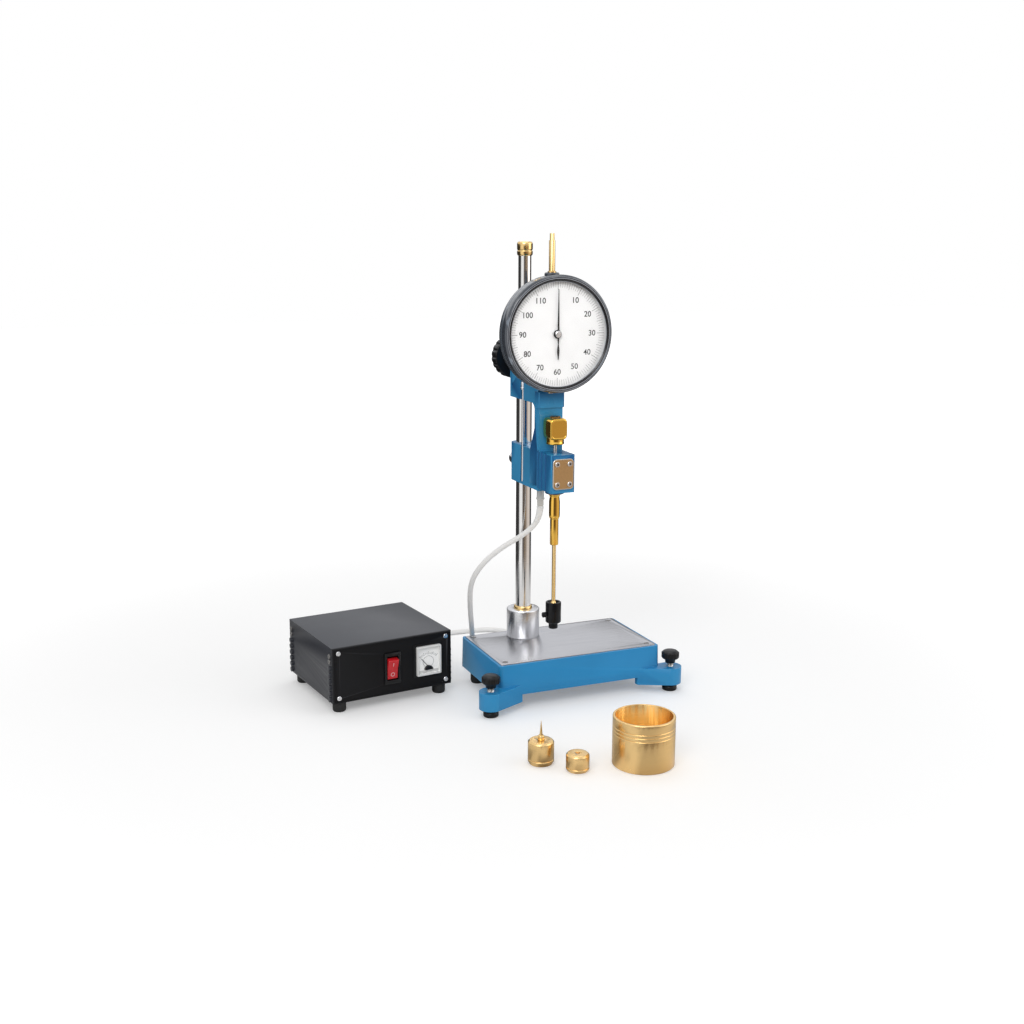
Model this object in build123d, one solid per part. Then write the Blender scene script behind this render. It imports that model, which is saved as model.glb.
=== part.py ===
from build123d import *
import math
import os

# Bench penetrometer set: stand, measuring head, control box and accessories.
# Lengths in millimetres, +Z up, the table top at z = 0.
# Places are written from the middle of the base; the whole set is centred at the end.

# Running clearance of a sliding or turning fit, per side
running_gap = 0.05
# Gap between neighbours that do not touch
small_gap = 0.3
# Gap left round a screw in a plain hole
hole_gap = 0.2

# Base casting and its top plate
plate_length = 192.0
plate_depth = 112.0
plate_thickness = 4.0
plate_corner = 3.0
plate_proud = 1.0
rim_width = 2.6
base_top = 54.0
base_bottom = 18.0
base_draft = 1.5
base_wall = 6.0
base_roof = 9.0
base_corner = 5.0
rib_thickness = 4.0
rib_count = 4
plate_screw_inset = 8.0
plate_screw_head_radius = 3.2
plate_screw_radius = 1.7
plate_screw_length = 10.0

# Levelling ears at the two front corners
ear_reach_x = 12.5
ear_reach_y = 4.5
ear_radius = 13.0
ear_bottom = 9.0
ear_top = 28.5
ear_web = 27.0
level_stud_radius = 4.0
level_travel = 4.0
level_thread_pitch = 1.25
level_knob_radius = 10.2
level_knob_height = 10.0
level_knob_neck_radius = 6.5
level_knob_neck = 5.0
level_knob_rise = 4.0
level_pad_radius = 8.5
level_pad_height = 7.0
rear_foot_radius = 7.0
rear_foot_inset = 14.0

# Column and its socket
column_x = -31.0
column_y = 35.0
column_radius = 8.8
column_upper_radius = 7.2
column_step = 469.0
column_top = 490.0
cap_radius = 8.8
cap_height = 15.3
socket_radius = 19.0
socket_height = 33.5
socket_spigot_radius = 14.0
collar_radius = 10.9
collar_height = 3.0
column_bolt_radius = 5.0
column_bolt_head_radius = 8.0
column_bolt_head = 5.0
column_bolt_reach = 26.0
column_boss_radius = 20.0

# Measuring head: one casting with an upper boss, a neck and a lower block.
# Its heights are one chain, upwards from the underside of the lower block.
arm_length = 84.0
boss_half_width = 12.0
boss_rear = 15.0
boss_front = 55.5
boss_corner = 4.0
lower_block_bottom = 239.0
lower_block_height = 43.5
lower_block_corner = 9.0
lower_block_heel = 8.0
neck_half_width = 14.0
neck_rear = 60.5
neck_thickness = 12.0
neck_flare = 25.5
shelf_half_width = 15.4
housing_half_width = 14.2
housing_ahead = 21.0
housing_behind = 18.0
housing_lift = 4.0
housing_height = 41.0
throat_height = 47.0
shelf_height = 17.2
upper_boss_lift = 3.0
upper_boss_above_dial = 1.5
flute_radius = 1.6
flute_count = 3
head_corner = 2.0
magnet_bore_radius = 10.2
lower_boss_radius = 9.0
lower_boss_height = 4.0
connector_behind_housing = 19.2

# Guide rod at the side of the head
guide_rod_radius = 1.8
guide_rod_offset = 22.0
guide_slot_width = 7.5
guide_slot_depth = 4.6
guide_collar_radius = 3.2
guide_collar_lift = 11.5
guide_collar_height = 8.0

# Plunger, its guide tube and its head, downwards from the housing
spindle_radius = 2.15
spindle_proud = 1.2
guide_tube_radius = 5.0
guide_tube_flange_radius = 5.7
guide_tube_flange = 2.7
guide_tube_neck_radius = 4.2
guide_tube_upper = 19.0
guide_tube_length = 57.3
plunger_rod_engagement = 32.3
plunger_travel = 8.5
plunger_rest_gap = 0.5
plunger_head_width = 20.5
plunger_head_height = 23.5
plunger_head_chamfer = 3.4
plunger_skirt_radius = 9.8
plunger_skirt = 5.2
chuck_radius = 8.6
chuck_drop = 64.7
chuck_length = 30.3
chuck_waist_length = 6.3
chuck_waist_radius = 5.1
chuck_bore_radius = 1.62
chuck_bore_depth = 18.0
chuck_mouth_radius = 6.4
chuck_mouth_depth = 6.0
chuck_screw_radius = 1.5
chuck_screw_head_radius = 3.0
chuck_screw_head = 3.6
chuck_screw_drop = 14.0

# Release magnet inside the housing
coil_radius = 9.8
coil_height = 22.0
coil_lift = 6.0
bobbin_radius = 6.4
clutch_radius = 5.3

# Name plate, blank, on the housing front
front_plate_width = 24.5
front_plate_height = 33.0
front_plate_thickness = 1.2
front_plate_corner = 3.0
front_screw_inset = 4.4
front_screw_head_radius = 2.2
front_screw_shank_radius = 0.9

# Clamp knob and clamp bolt at the back of the head
clamp_below_dial = 33.7
clamp_knob_radius = 24.5
clamp_knob_thickness = 14.0
clamp_knob_lobes = 20
clamp_knob_scallop = 1.3
clamp_stud_radius = 4.0
clamp_stud_free = 10.0
clamp_bolt_head_radius = 7.5
clamp_bolt_head = 12.0

# Dial gauge
dial_radius = 62.0
dial_window_radius = 55.5
dial_case_radius = 58.0
dial_front = 8.5
bezel_depth = 10.2
dial_offset = 0.5
dial_band_radius = 60.8
dial_depth = 20.5
case_wall = 2.0
case_back = 2.5
face_radius = 57.2
face_thickness = 1.0
face_setback = 7.5
crystal_thickness = 1.6
crystal_setback = 1.4
pointer_length = 52.0
pointer_tail = 27.0
pointer_width = 1.5
pointer_tail_width = 2.6
pointer_thickness = 0.5
pointer_hub_radius = 4.4
arbor_radius = 1.0
pinion_teeth = 12
tooth_pitch = 1.0
tooth_depth = 0.6
tooth_backlash = 0.12
rack_radius = 3.3
rack_flat = 1.2
rack_above_dial = 96.8
rack_tip_radius = 2.5
rack_tip = 7.2
rack_lip = 0.9
rack_travel = 24.0
gland_radius = 5.6
gland_height = 6.5
dial_pillar_radius = 15.0

# Control box
box_x = -205.0
box_y = 77.0
box_turn = 7.0
box_width = 144.0
box_depth = 130.0
box_top = 75.0
box_bottom = 12.0
sheet = 1.5
panel_thickness = 3.0
panel_rim = 2.0
box_foot_radius = 7.5
box_foot_inset = 11.0
panel_screw_inset_x = 7.0
panel_screw_inset_z = 6.0
panel_screw_head_radius = 2.6
panel_screw_shank_radius = 1.4
switch_x = -1.0
switch_z = 42.0
switch_width = 19.5
switch_height = 36.0
rocker_width = 13.0
rocker_height = 27.0
rocker_tilt = 12.0
meter_x = 43.0
meter_z = 44.5
meter_width = 30.0
meter_height = 34.0
meter_front = 4.0
meter_back = 22.0
meter_needle_length = 14.0
meter_pivot_drop = 8.0
side_stud_radius = 3.0
side_stud_height = 2.2
side_stud_count = 6
side_stud_spacing = 7.0
side_stud_front = 7.5
side_stud_back = 6.0
inlet_width = 27.0
inlet_height = 20.0
inlet_depth = 16.0
inlet_x = 38.0
transformer_size = 42.0

# Signal cable and its two connectors
cable_radius = 3.0
gland_tail_radius = 3.6
connector_radius = 4.2
connector_length = 13.0
connector_tail = 8.0
box_socket_x = 48.0
box_socket_z = 40.0
box_socket_radius = 7.5

# Accessories that stand on the table
cup_x = -19.0
cup_y = -239.0
cup_radius = 31.2
cup_wall = 2.5
cup_floor = 3.0
cup_height = 50.5
cup_groove = 0.5
cup_groove_width = 0.9
cup_groove_spacing = 3.6
weight_hundred_x = -113.0
weight_hundred_y = -200.0
weight_hundred_radius = 13.1
weight_hundred_height = 24.7
weight_fifty_x = -87.0
weight_fifty_y = -230.0
weight_fifty_radius = 11.6
weight_fifty_height = 18.3
weight_bore_radius = 2.3
needle_shank_radius = 1.6
needle_collar_radius = 3.4
needle_collar_height = 5.0
needle_length = 15.0


# Shared shapes
def upright(radius, low, high, x=0.0, y=0.0):
    return Pos(x, y, low) * Cylinder(radius, high - low, align=(Align.CENTER, Align.CENTER, Align.MIN))


def along_y(radius, near, far, x, z):
    body = Cylinder(radius, far - near, align=(Align.CENTER, Align.CENTER, Align.MIN))
    return Pos(x, near, z) * Rot(-90, 0, 0) * body


def along_x(radius, left, right, y, z):
    body = Cylinder(radius, right - left, align=(Align.CENTER, Align.CENTER, Align.MIN))
    return Pos(left, y, z) * Rot(0, 90, 0) * body


def block(x_low, x_high, y_low, y_high, z_low, z_high):
    middle = Pos((x_low + x_high) / 2, (y_low + y_high) / 2, z_low)
    lowest = (Align.CENTER, Align.CENTER, Align.MIN)
    return middle * Box(x_high - x_low, y_high - y_low, z_high - z_low, align=lowest)


def side_profile(points, x_low, x_high):
    outline = make_face(Plane.YZ * Polyline(*points, close=True))
    return Pos(x_low, 0, 0) * extrude(outline, x_high - x_low, dir=(1, 0, 0))


def front_profile(points, y_near, y_far):
    outline = make_face(Plane.XZ * Polyline(*points, close=True))
    return Pos(0, y_near, 0) * extrude(outline, y_far - y_near, dir=(0, 1, 0))


def turned(points, x, y):
    outline = make_face(Plane.XZ * Polyline(*points, close=True))
    return Pos(x, y, 0) * revolve(outline, Axis.Z)


def group(pieces):
    return Compound([solid for piece in pieces for solid in piece.solids()])


nodes = {}

# Base casting: a shallow cast box with a rim round the plate, ribs below and two ears
casting_length = plate_length + 2 * rim_width
casting_depth = plate_depth + 2 * rim_width
casting_height = base_top - plate_proud - base_bottom
plate_floor = base_top - plate_thickness
draft_growth = casting_height * math.tan(math.radians(base_draft))
foot_outline = RectangleRounded(
    casting_length + 2 * draft_growth, casting_depth + 2 * draft_growth, base_corner
)
casting = extrude(Pos(0, 0, base_bottom) * foot_outline, casting_height, taper=base_draft)
cavity_length = casting_length - 2 * base_wall
cavity_depth = casting_depth - 2 * base_wall
cavity_top = plate_floor - base_roof
casting -= block(
    -cavity_length / 2, cavity_length / 2, -cavity_depth / 2, cavity_depth / 2, base_bottom - 1, cavity_top
)
for index in range(rib_count):
    rib_x = -cavity_length / 2 + cavity_length * (index + 1) / (rib_count + 1)
    casting += block(
        rib_x - rib_thickness / 2, rib_x + rib_thickness / 2,
        -cavity_depth / 2 - 1, cavity_depth / 2 + 1, base_bottom + 2, cavity_top + 1
    )
casting += block(
    -cavity_length / 2 - 1, cavity_length / 2 + 1, -rib_thickness / 2, rib_thickness / 2,
    base_bottom + 2, cavity_top + 1
)
casting += upright(column_boss_radius, base_bottom + 2, cavity_top + 1, column_x, column_y)
corner_x = casting_length / 2
corner_y = casting_depth / 2
foot_x = corner_x + ear_reach_x
foot_y = -corner_y - ear_reach_y
for side in (-1, 1):
    tongue = make_hull([
        *(Pos(side * foot_x, foot_y) * Circle(ear_radius)).edges(),
        *(Pos(side * (corner_x - ear_web / 2), -corner_y + base_wall / 2)
          * Rectangle(ear_web, base_wall)).edges(),
    ])
    casting += extrude(Pos(0, 0, ear_bottom) * tongue, ear_top - ear_bottom)
    casting += upright(rear_foot_radius + 3, base_bottom, cavity_top + 1,
                       side * (corner_x - rear_foot_inset), corner_y - rear_foot_inset)
casting -= extrude(
    Pos(0, 0, plate_floor) * RectangleRounded(plate_length, plate_depth, plate_corner),
    plate_thickness + 1
)
for side in (-1, 1):
    casting -= upright(level_stud_radius + running_gap, ear_bottom - 1, ear_top + 1, side * foot_x, foot_y)
casting -= upright(column_radius + running_gap, base_bottom + 10, base_top, column_x, column_y)
casting -= upright(column_bolt_radius + hole_gap, 0, base_top, column_x, column_y)
screw_places = [
    (sx * (plate_length / 2 - plate_screw_inset), sy * (plate_depth / 2 - plate_screw_inset))
    for sx in (-1, 1) for sy in (-1, 1)
]
screw_foot = base_top - plate_screw_length
for x, y in screw_places:
    casting -= upright(plate_screw_radius + running_gap, screw_foot - 1, base_top, x, y)
nodes["base_casting"] = casting

# Top plate: ground steel, screwed down at its corners, with a hole for the column
plate = extrude(
    Pos(0, 0, plate_floor) * RectangleRounded(plate_length - small_gap, plate_depth - small_gap, plate_corner),
    plate_thickness
)
plate -= upright(column_radius + running_gap, 0, base_top + 1, column_x, column_y)
countersink = plate_screw_head_radius - plate_screw_radius
for x, y in screw_places:
    plate -= upright(plate_screw_radius + hole_gap, 0, base_top + 1, x, y)
    plate -= Pos(x, y, base_top - countersink) * Cone(
        plate_screw_radius + hole_gap, plate_screw_head_radius + hole_gap, countersink,
        align=(Align.CENTER, Align.CENTER, Align.MIN))
nodes["top_plate"] = plate


def plate_screw(x, y):
    head = Pos(x, y, base_top - countersink) * Cone(
        plate_screw_radius, plate_screw_head_radius, countersink,
        align=(Align.CENTER, Align.CENTER, Align.MIN))
    shank = upright(plate_screw_radius, screw_foot, base_top - countersink, x, y)
    slot = block(x - plate_screw_head_radius, x + plate_screw_head_radius, y - 0.4, y + 0.4,
                 base_top - 0.8, base_top + 1)
    return head + shank - slot


nodes["plate_screws"] = group(plate_screw(x, y) for x, y in screw_places)

# Rear feet: two rubber buttons in bosses of the casting
nodes["rear_feet"] = group(
    turned([(0, 0), (rear_foot_radius, 0), (rear_foot_radius + 1, 3), (rear_foot_radius + 1, base_bottom),
            (0, base_bottom)],
           side * (corner_x - rear_foot_inset), corner_y - rear_foot_inset)
    for side in (-1, 1)
)

# Levelling screws: a knob on a stud that turns in the ear, over a pad that stays flat on the table
pad_seat = level_pad_height - 3.0
for name, side in (("left", -1), ("right", 1)):
    x = side * foot_x
    knob_bottom = ear_top + level_knob_rise
    knob_waist = knob_bottom + level_knob_neck
    knob_top = knob_waist + level_knob_height
    ball = turned([(0, pad_seat), (level_stud_radius - 1, pad_seat), (level_stud_radius, pad_seat + 1),
                   (level_stud_radius, knob_waist + 4), (0, knob_waist + 4)], x, foot_y)
    knob = turned([
        (0, knob_bottom), (level_knob_neck_radius - 1, knob_bottom), (level_knob_neck_radius, knob_waist),
        (level_knob_radius - 1, knob_waist + 0.5), (level_knob_radius, knob_waist + 2),
        (level_knob_radius, knob_top - 3), (level_knob_radius - 2.5, knob_top - 0.8),
        (level_knob_radius - 5, knob_top), (0, knob_top)], x, foot_y)
    for step in range(12):
        angle = math.radians(30 * step)
        knob -= upright(1.3, knob_waist, knob_top + 1, x + (level_knob_radius + 0.5) * math.cos(angle),
                        foot_y + (level_knob_radius + 0.5) * math.sin(angle))
    nodes[name + "_level_screw"] = knob + ball
    pad = turned([(0, 0), (level_pad_radius - 1, 0), (level_pad_radius, 1), (level_pad_radius, 4.5),
                  (level_pad_radius - 1.5, level_pad_height), (0, level_pad_height)], x, foot_y)
    pad -= upright(level_stud_radius + running_gap, pad_seat - running_gap, level_pad_height + 1, x, foot_y)
    nodes[name + "_level_pad"] = pad

# Column: a stepped ground bar, held by a bolt from below, in an aluminium socket
column_foot = base_bottom + 10
column = turned([
    (0, column_foot), (column_radius, column_foot), (column_radius, column_step),
    (column_upper_radius, column_step + 2), (column_upper_radius, column_top), (0, column_top)],
    column_x, column_y)
column -= upright(column_bolt_radius, column_foot - 1, column_foot + column_bolt_reach, column_x, column_y)
nodes["column"] = column
nodes["column_bolt"] = (
    upright(column_bolt_head_radius, base_bottom + 2 - column_bolt_head, base_bottom + 2, column_x, column_y)
    + upright(column_bolt_radius, base_bottom + 2, column_foot + column_bolt_reach - 1, column_x, column_y)
)
nodes["column_cap"] = turned([
    (0, column_top), (cap_radius - 0.8, column_top), (cap_radius, column_top + 1.5),
    (cap_radius, column_top + 4), (cap_radius - 0.7, column_top + 6.5), (cap_radius, column_top + 9),
    (cap_radius - 0.6, column_top + cap_height - 2.5), (cap_radius - 2.6, column_top + cap_height),
    (0, column_top + cap_height)], column_x, column_y)
socket_top = base_top + socket_height
socket = turned([
    (column_radius + running_gap, base_top), (socket_radius, base_top), (socket_radius, socket_top - 1),
    (socket_radius - 1, socket_top), (column_radius + running_gap, socket_top)], column_x, column_y)
nodes["column_socket"] = socket
nodes["socket_collar"] = turned([
    (column_radius + running_gap, socket_top), (collar_radius, socket_top),
    (collar_radius - 0.8, socket_top + collar_height),
    (column_radius + running_gap, socket_top + collar_height)], column_x, column_y)

# Heights of the head
lower_block_top = lower_block_bottom + lower_block_height
housing_bottom = lower_block_bottom + housing_lift
housing_top = housing_bottom + housing_height
throat_roof = housing_top + throat_height
dial_shelf = throat_roof + shelf_height
dial_height = dial_shelf + small_gap + dial_radius
upper_boss_bottom = throat_roof + upper_boss_lift
upper_boss_top = dial_height + upper_boss_above_dial
clamp_height = dial_height - clamp_below_dial
clamp_bolt_height = lower_block_bottom + lower_block_height / 2
guide_collar_bottom = upper_boss_bottom + guide_collar_lift
rack_top = dial_height + rack_above_dial
rack_foot = dial_height - dial_radius - rack_lip
cover_low = housing_bottom - lower_boss_height
guide_tube_step = cover_low - guide_tube_upper
guide_tube_end = cover_low - guide_tube_length
coil_bottom = housing_bottom + coil_lift
coil_top = coil_bottom + coil_height
plunger_head_bottom = housing_top + plunger_rest_gap + plunger_travel + plunger_skirt
head_top = plunger_head_bottom + plunger_head_height
spindle_top = head_top + spindle_proud
plunger_rod_top = guide_tube_end + plunger_rod_engagement
chuck_top = guide_tube_end - chuck_drop
chuck_bottom = chuck_top - chuck_length
chuck_waist = chuck_bottom + chuck_waist_length
chuck_screw_height = chuck_top - chuck_screw_drop

# Head casting
axis_y = column_y - arm_length
housing_front = axis_y - housing_ahead
housing_back = axis_y + housing_behind
front_y = axis_y - dial_front
rack_y = front_y + bezel_depth + small_gap + rack_radius
shelf_y = rack_y + rack_radius + 2 * small_gap
dial_x = column_x + dial_offset
dial_back = axis_y - dial_front + dial_depth
boss_back = column_y + boss_rear
boss_nose = column_y - boss_front
neck_back = column_y - neck_rear
neck_front = neck_back - neck_thickness
left_face = column_x - boss_half_width
upper_boss = block(column_x - boss_half_width, column_x + boss_half_width, boss_nose - 5, boss_back,
                   upper_boss_bottom, upper_boss_top)
upper_boss = fillet(upper_boss.edges().filter_by(Axis.Z).group_by(Axis.Y)[-1], boss_corner)
lower_block = block(column_x - boss_half_width, column_x + boss_half_width, housing_back - 1, boss_back,
                    lower_block_bottom, lower_block_top)
lower_block = fillet(lower_block.edges().filter_by(Axis.Z).group_by(Axis.Y)[-1], lower_block_corner)
heel_y = boss_back - lower_block_heel
heel_z = lower_block_bottom + lower_block_heel
lower_block -= (
    block(left_face - 1, left_face + 2 * boss_half_width + 1, heel_y, boss_back + 1, lower_block_bottom - 1, heel_z)
    - along_x(lower_block_heel, left_face - 2, left_face + 2 * boss_half_width + 2, heel_y, heel_z)
)
lower_block += along_y(clamp_bolt_head_radius + 0.7, boss_back - lower_block_corner, boss_back,
                       column_x, clamp_bolt_height)
flare_top = lower_block_top + neck_flare
flare_foot = neck_back + neck_thickness
neck_lines = Plane.YZ * (
    Polyline((boss_nose, upper_boss_top), (boss_nose, upper_boss_bottom)) +
    ThreePointArc((boss_nose, upper_boss_bottom), (boss_nose - 3.6, upper_boss_bottom - 2.2),
                  (neck_back, upper_boss_bottom - 7)) +
    Polyline((neck_back, upper_boss_bottom - 7), (neck_back, flare_top)) +
    ThreePointArc((neck_back, flare_top), (neck_back + 5.0, flare_top - 11.5), (flare_foot, lower_block_top)) +
    Polyline((flare_foot, lower_block_top), (flare_foot, lower_block_bottom + 6),
             (housing_back - 6, lower_block_bottom + 6), (housing_back - 6, housing_top - 2),
             (neck_front, housing_top - 2), (neck_front, upper_boss_top), (boss_nose, upper_boss_top))
)
neck = Pos(column_x - neck_half_width, 0, 0) * extrude(
    make_face(neck_lines.edges()), 2 * neck_half_width, dir=(1, 0, 0))
neck -= block(column_x - neck_half_width - 1, column_x + neck_half_width + 1, neck_front - 1,
              dial_back + case_back, dial_shelf, upper_boss_top + 1)
shelf = block(column_x - shelf_half_width, column_x + shelf_half_width, shelf_y, neck_back - 2,
              throat_roof, dial_shelf)
neck += fillet(shelf.edges().filter_by(Axis.Z), head_corner)
housing = block(column_x - housing_half_width, column_x + housing_half_width, housing_front, housing_back,
                housing_bottom, housing_top)
housing = fillet(housing.edges().filter_by(Axis.Z), head_corner)
head = upper_boss + lower_block + neck + housing
head = head + along_y(dial_pillar_radius, dial_back, dial_back + case_back + 1, column_x, dial_height)
flute_step = (housing_back - housing_front - 10) / flute_count
for side in (-1, 1):
    for index in range(flute_count):
        head -= upright(flute_radius, housing_bottom - 1, housing_top + 1,
                        column_x + side * (housing_half_width + 0.4), housing_back - 5 - index * flute_step)
# Bores for the column, the plunger and the magnet
head -= upright(column_radius + running_gap, lower_block_bottom - 1, upper_boss_top + 1, column_x, column_y)
head -= block(column_x - 1, column_x + 1, column_y, boss_back + 1, lower_block_bottom - 1, upper_boss_top + 1)
head -= upright(magnet_bore_radius, housing_bottom - 1, coil_bottom + coil_height + 1, column_x, axis_y)
head -= upright(spindle_radius + running_gap, housing_bottom - 1, housing_top + 1, column_x, axis_y)
# Slot for the guide rod down the left face, and its grub screw hole
rod_y = column_y - guide_rod_offset
rod_x = left_face + guide_rod_radius - 0.4
head -= block(left_face - 1, left_face + guide_slot_depth, rod_y - guide_slot_width / 2,
              rod_y + guide_slot_width / 2, upper_boss_bottom - 1, guide_collar_bottom + guide_collar_height + 14)
head -= block(left_face - 1, left_face + guide_slot_depth, rod_y - guide_slot_width / 2,
              rod_y + guide_slot_width / 2, lower_block_bottom + 3, lower_block_top + 1)
head -= along_x(1.6, left_face - 1, left_face + 4, column_y + 6, guide_collar_bottom + 3)
# Holes for the clamp stud, clamp bolt and the front plate's screws
head -= along_y(clamp_stud_radius, column_y, boss_back + 1, column_x, clamp_height)
head -= along_y(clamp_stud_radius, column_y, boss_back + 1, column_x, clamp_bolt_height)
front_screws = [
    (column_x + sx * (front_plate_width / 2 - front_screw_inset),
     (housing_bottom + housing_top) / 2 + sz * (front_plate_height / 2 - front_screw_inset))
    for sx in (-1, 1) for sz in (-1, 1)
]
for x, z in front_screws:
    head -= along_y(front_screw_shank_radius, housing_front - 1, housing_front + 4, x, z)
# Seat of the cable connector under the block
connector_y = housing_back + connector_behind_housing
connector_seat = lower_block_bottom
nodes["head_casting"] = head

# Lower cover: a plug that closes the magnet's bore and carries the guide tube
tube_top = coil_bottom - small_gap
lower_cover = upright(lower_boss_radius, cover_low, housing_bottom + 1, column_x, axis_y)
lower_cover += upright(magnet_bore_radius - running_gap, housing_bottom, tube_top, column_x, axis_y)
lower_cover -= upright(guide_tube_radius, cover_low - 1, coil_bottom, column_x, axis_y)
nodes["lower_cover"] = lower_cover
flange_low = cover_low - guide_tube_flange
nodes["guide_tube"] = turned([
    (spindle_radius + running_gap, guide_tube_end), (guide_tube_neck_radius - 0.6, guide_tube_end),
    (guide_tube_neck_radius, guide_tube_end + 1), (guide_tube_neck_radius, guide_tube_step - 1),
    (guide_tube_radius - 0.3, guide_tube_step), (guide_tube_radius, flange_low - 8),
    (guide_tube_radius, flange_low - 0.8), (guide_tube_flange_radius, flange_low),
    (guide_tube_flange_radius, cover_low), (guide_tube_radius, cover_low), (guide_tube_radius, tube_top),
    (spindle_radius + running_gap, tube_top)], column_x, axis_y)

# Release magnet: bobbin, winding and clutch sleeve round the spindle
nodes["magnet_bobbin"] = turned([
    (clutch_radius + running_gap, coil_bottom), (coil_radius, coil_bottom), (coil_radius, coil_bottom + 1.5),
    (bobbin_radius, coil_bottom + 1.5), (bobbin_radius, coil_top - 1.5), (coil_radius, coil_top - 1.5),
    (coil_radius, coil_top), (clutch_radius + running_gap, coil_top)], column_x, axis_y)
nodes["magnet_winding"] = turned([
    (bobbin_radius, coil_bottom + 1.5), (coil_radius - 0.4, coil_bottom + 1.5),
    (coil_radius - 0.4, coil_top - 1.5), (bobbin_radius, coil_top - 1.5)], column_x, axis_y)
nodes["clutch_sleeve"] = turned([
    (spindle_radius + running_gap, coil_bottom + small_gap), (clutch_radius, coil_bottom + small_gap),
    (clutch_radius, coil_top + 1), (spindle_radius + running_gap, coil_top + 1)], column_x, axis_y)

# Guide rod and its collar
guide_rod = upright(guide_rod_radius, lower_block_bottom + 3,
                    guide_collar_bottom + guide_collar_height + 12, rod_x, rod_y)
guide_rod += upright(guide_collar_radius, guide_collar_bottom, guide_collar_bottom + 2, rod_x, rod_y)
guide_rod += upright(guide_collar_radius - 0.6, guide_collar_bottom, guide_collar_bottom + guide_collar_height,
                     rod_x, rod_y)
nodes["guide_rod"] = guide_rod

# Front plate and its screws
plate_low = (housing_bottom + housing_top - front_plate_height) / 2
front_outline = Plane.XZ * Pos(column_x, plate_low + front_plate_height / 2) * RectangleRounded(
    front_plate_width, front_plate_height, front_plate_corner)
front_plate = Pos(0, housing_front, 0) * extrude(front_outline, front_plate_thickness, dir=(0, -1, 0))
for x, z in front_screws:
    front_plate -= along_y(front_screw_shank_radius + running_gap, housing_front - 3, housing_front + 1, x, z)
nodes["front_plate"] = front_plate
nodes["front_plate_screws"] = group(
    along_y(front_screw_head_radius, housing_front - front_plate_thickness - 1.0,
            housing_front - front_plate_thickness, x, z)
    + along_y(front_screw_shank_radius, housing_front - front_plate_thickness, housing_front + 3, x, z)
    for x, z in front_screws
)

# Clamp knob with its stud, and the lower clamp bolt
stud_tip = column_y + column_radius + small_gap
stud_end = boss_back + clamp_stud_free + clamp_knob_thickness - 4
nodes["clamp_stud"] = along_y(clamp_stud_radius - running_gap, stud_tip, stud_end, column_x, clamp_height)
knob_near = boss_back + clamp_stud_free
knob_disc = along_y(clamp_knob_radius, knob_near, knob_near + clamp_knob_thickness, column_x, clamp_height)
knob_disc = fillet(knob_disc.edges(), 2.0)
for step in range(clamp_knob_lobes):
    angle = 2 * math.pi * step / clamp_knob_lobes
    reach = clamp_knob_radius + clamp_knob_scallop
    knob_disc -= along_y(2 * clamp_knob_scallop, knob_near - 1, knob_near + clamp_knob_thickness + 1,
                         column_x + reach * math.sin(angle), clamp_height + reach * math.cos(angle))
knob_disc += along_y(10.0, boss_back + 1.5, knob_near + 1, column_x, clamp_height)
knob_disc -= along_y(clamp_stud_radius - running_gap, boss_back, stud_end, column_x, clamp_height)
nodes["clamp_knob"] = knob_disc
clamp_bolt = along_y(clamp_bolt_head_radius, boss_back, boss_back + clamp_bolt_head, column_x, clamp_bolt_height)
clamp_bolt = fillet(clamp_bolt.edges().group_by(Axis.Y)[-1], 1.5)
clamp_bolt += along_y(clamp_stud_radius - running_gap, stud_tip, boss_back, column_x, clamp_bolt_height)
clamp_bolt -= along_y(2.8, boss_back + clamp_bolt_head - 5, boss_back + clamp_bolt_head + 1,
                      column_x, clamp_bolt_height)
nodes["clamp_bolt"] = clamp_bolt

# Plunger: steel spindle, brass head, brass rod and chuck
nodes["spindle"] = upright(spindle_radius, plunger_rod_top, spindle_top, column_x, axis_y)
nodes["plunger_rod"] = turned([
    (0, chuck_top - chuck_mouth_depth), (chuck_mouth_radius - 1.6, chuck_top - chuck_mouth_depth),
    (chuck_mouth_radius - 1.6, chuck_top - 4), (spindle_radius, chuck_top + 1.5),
    (spindle_radius, plunger_rod_top), (0, plunger_rod_top)], column_x, axis_y)
half_head = plunger_head_width / 2
plunger_head = block(column_x - half_head, column_x + half_head, axis_y - half_head, axis_y + half_head,
                     plunger_head_bottom, head_top)
plunger_head = chamfer(plunger_head.edges().filter_by(Axis.Y), plunger_head_chamfer)
plunger_head = chamfer(plunger_head.faces().sort_by(Axis.Y)[0].edges(), 1.2)
plunger_head += upright(plunger_skirt_radius, plunger_head_bottom - plunger_skirt, plunger_head_bottom + 2,
                        column_x, axis_y)
plunger_head -= upright(4.2, head_top - 2, head_top + 1, column_x, axis_y)
plunger_head -= upright(spindle_radius, plunger_head_bottom - plunger_skirt - 1, head_top, column_x, axis_y)
nodes["plunger_head"] = plunger_head
chuck = turned([
    (0, chuck_bottom), (chuck_waist_radius - 0.6, chuck_bottom), (chuck_waist_radius, chuck_bottom + 0.6),
    (chuck_waist_radius, chuck_waist), (chuck_radius - 0.8, chuck_waist + 0.6),
    (chuck_radius, chuck_waist + 1.6), (chuck_radius, chuck_top - 0.6), (chuck_radius - 0.6, chuck_top),
    (chuck_mouth_radius, chuck_top), (chuck_mouth_radius - 1.6, chuck_top - chuck_mouth_depth),
    (0, chuck_top - chuck_mouth_depth)], column_x, axis_y)
chuck -= upright(chuck_bore_radius, chuck_bottom - 1, chuck_bottom + chuck_bore_depth, column_x, axis_y)
chuck -= along_x(chuck_screw_radius + running_gap, column_x - chuck_radius - 1, column_x, axis_y,
                 chuck_screw_height)
nodes["chuck"] = chuck
screw_face = column_x - chuck_radius - 0.8
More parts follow.
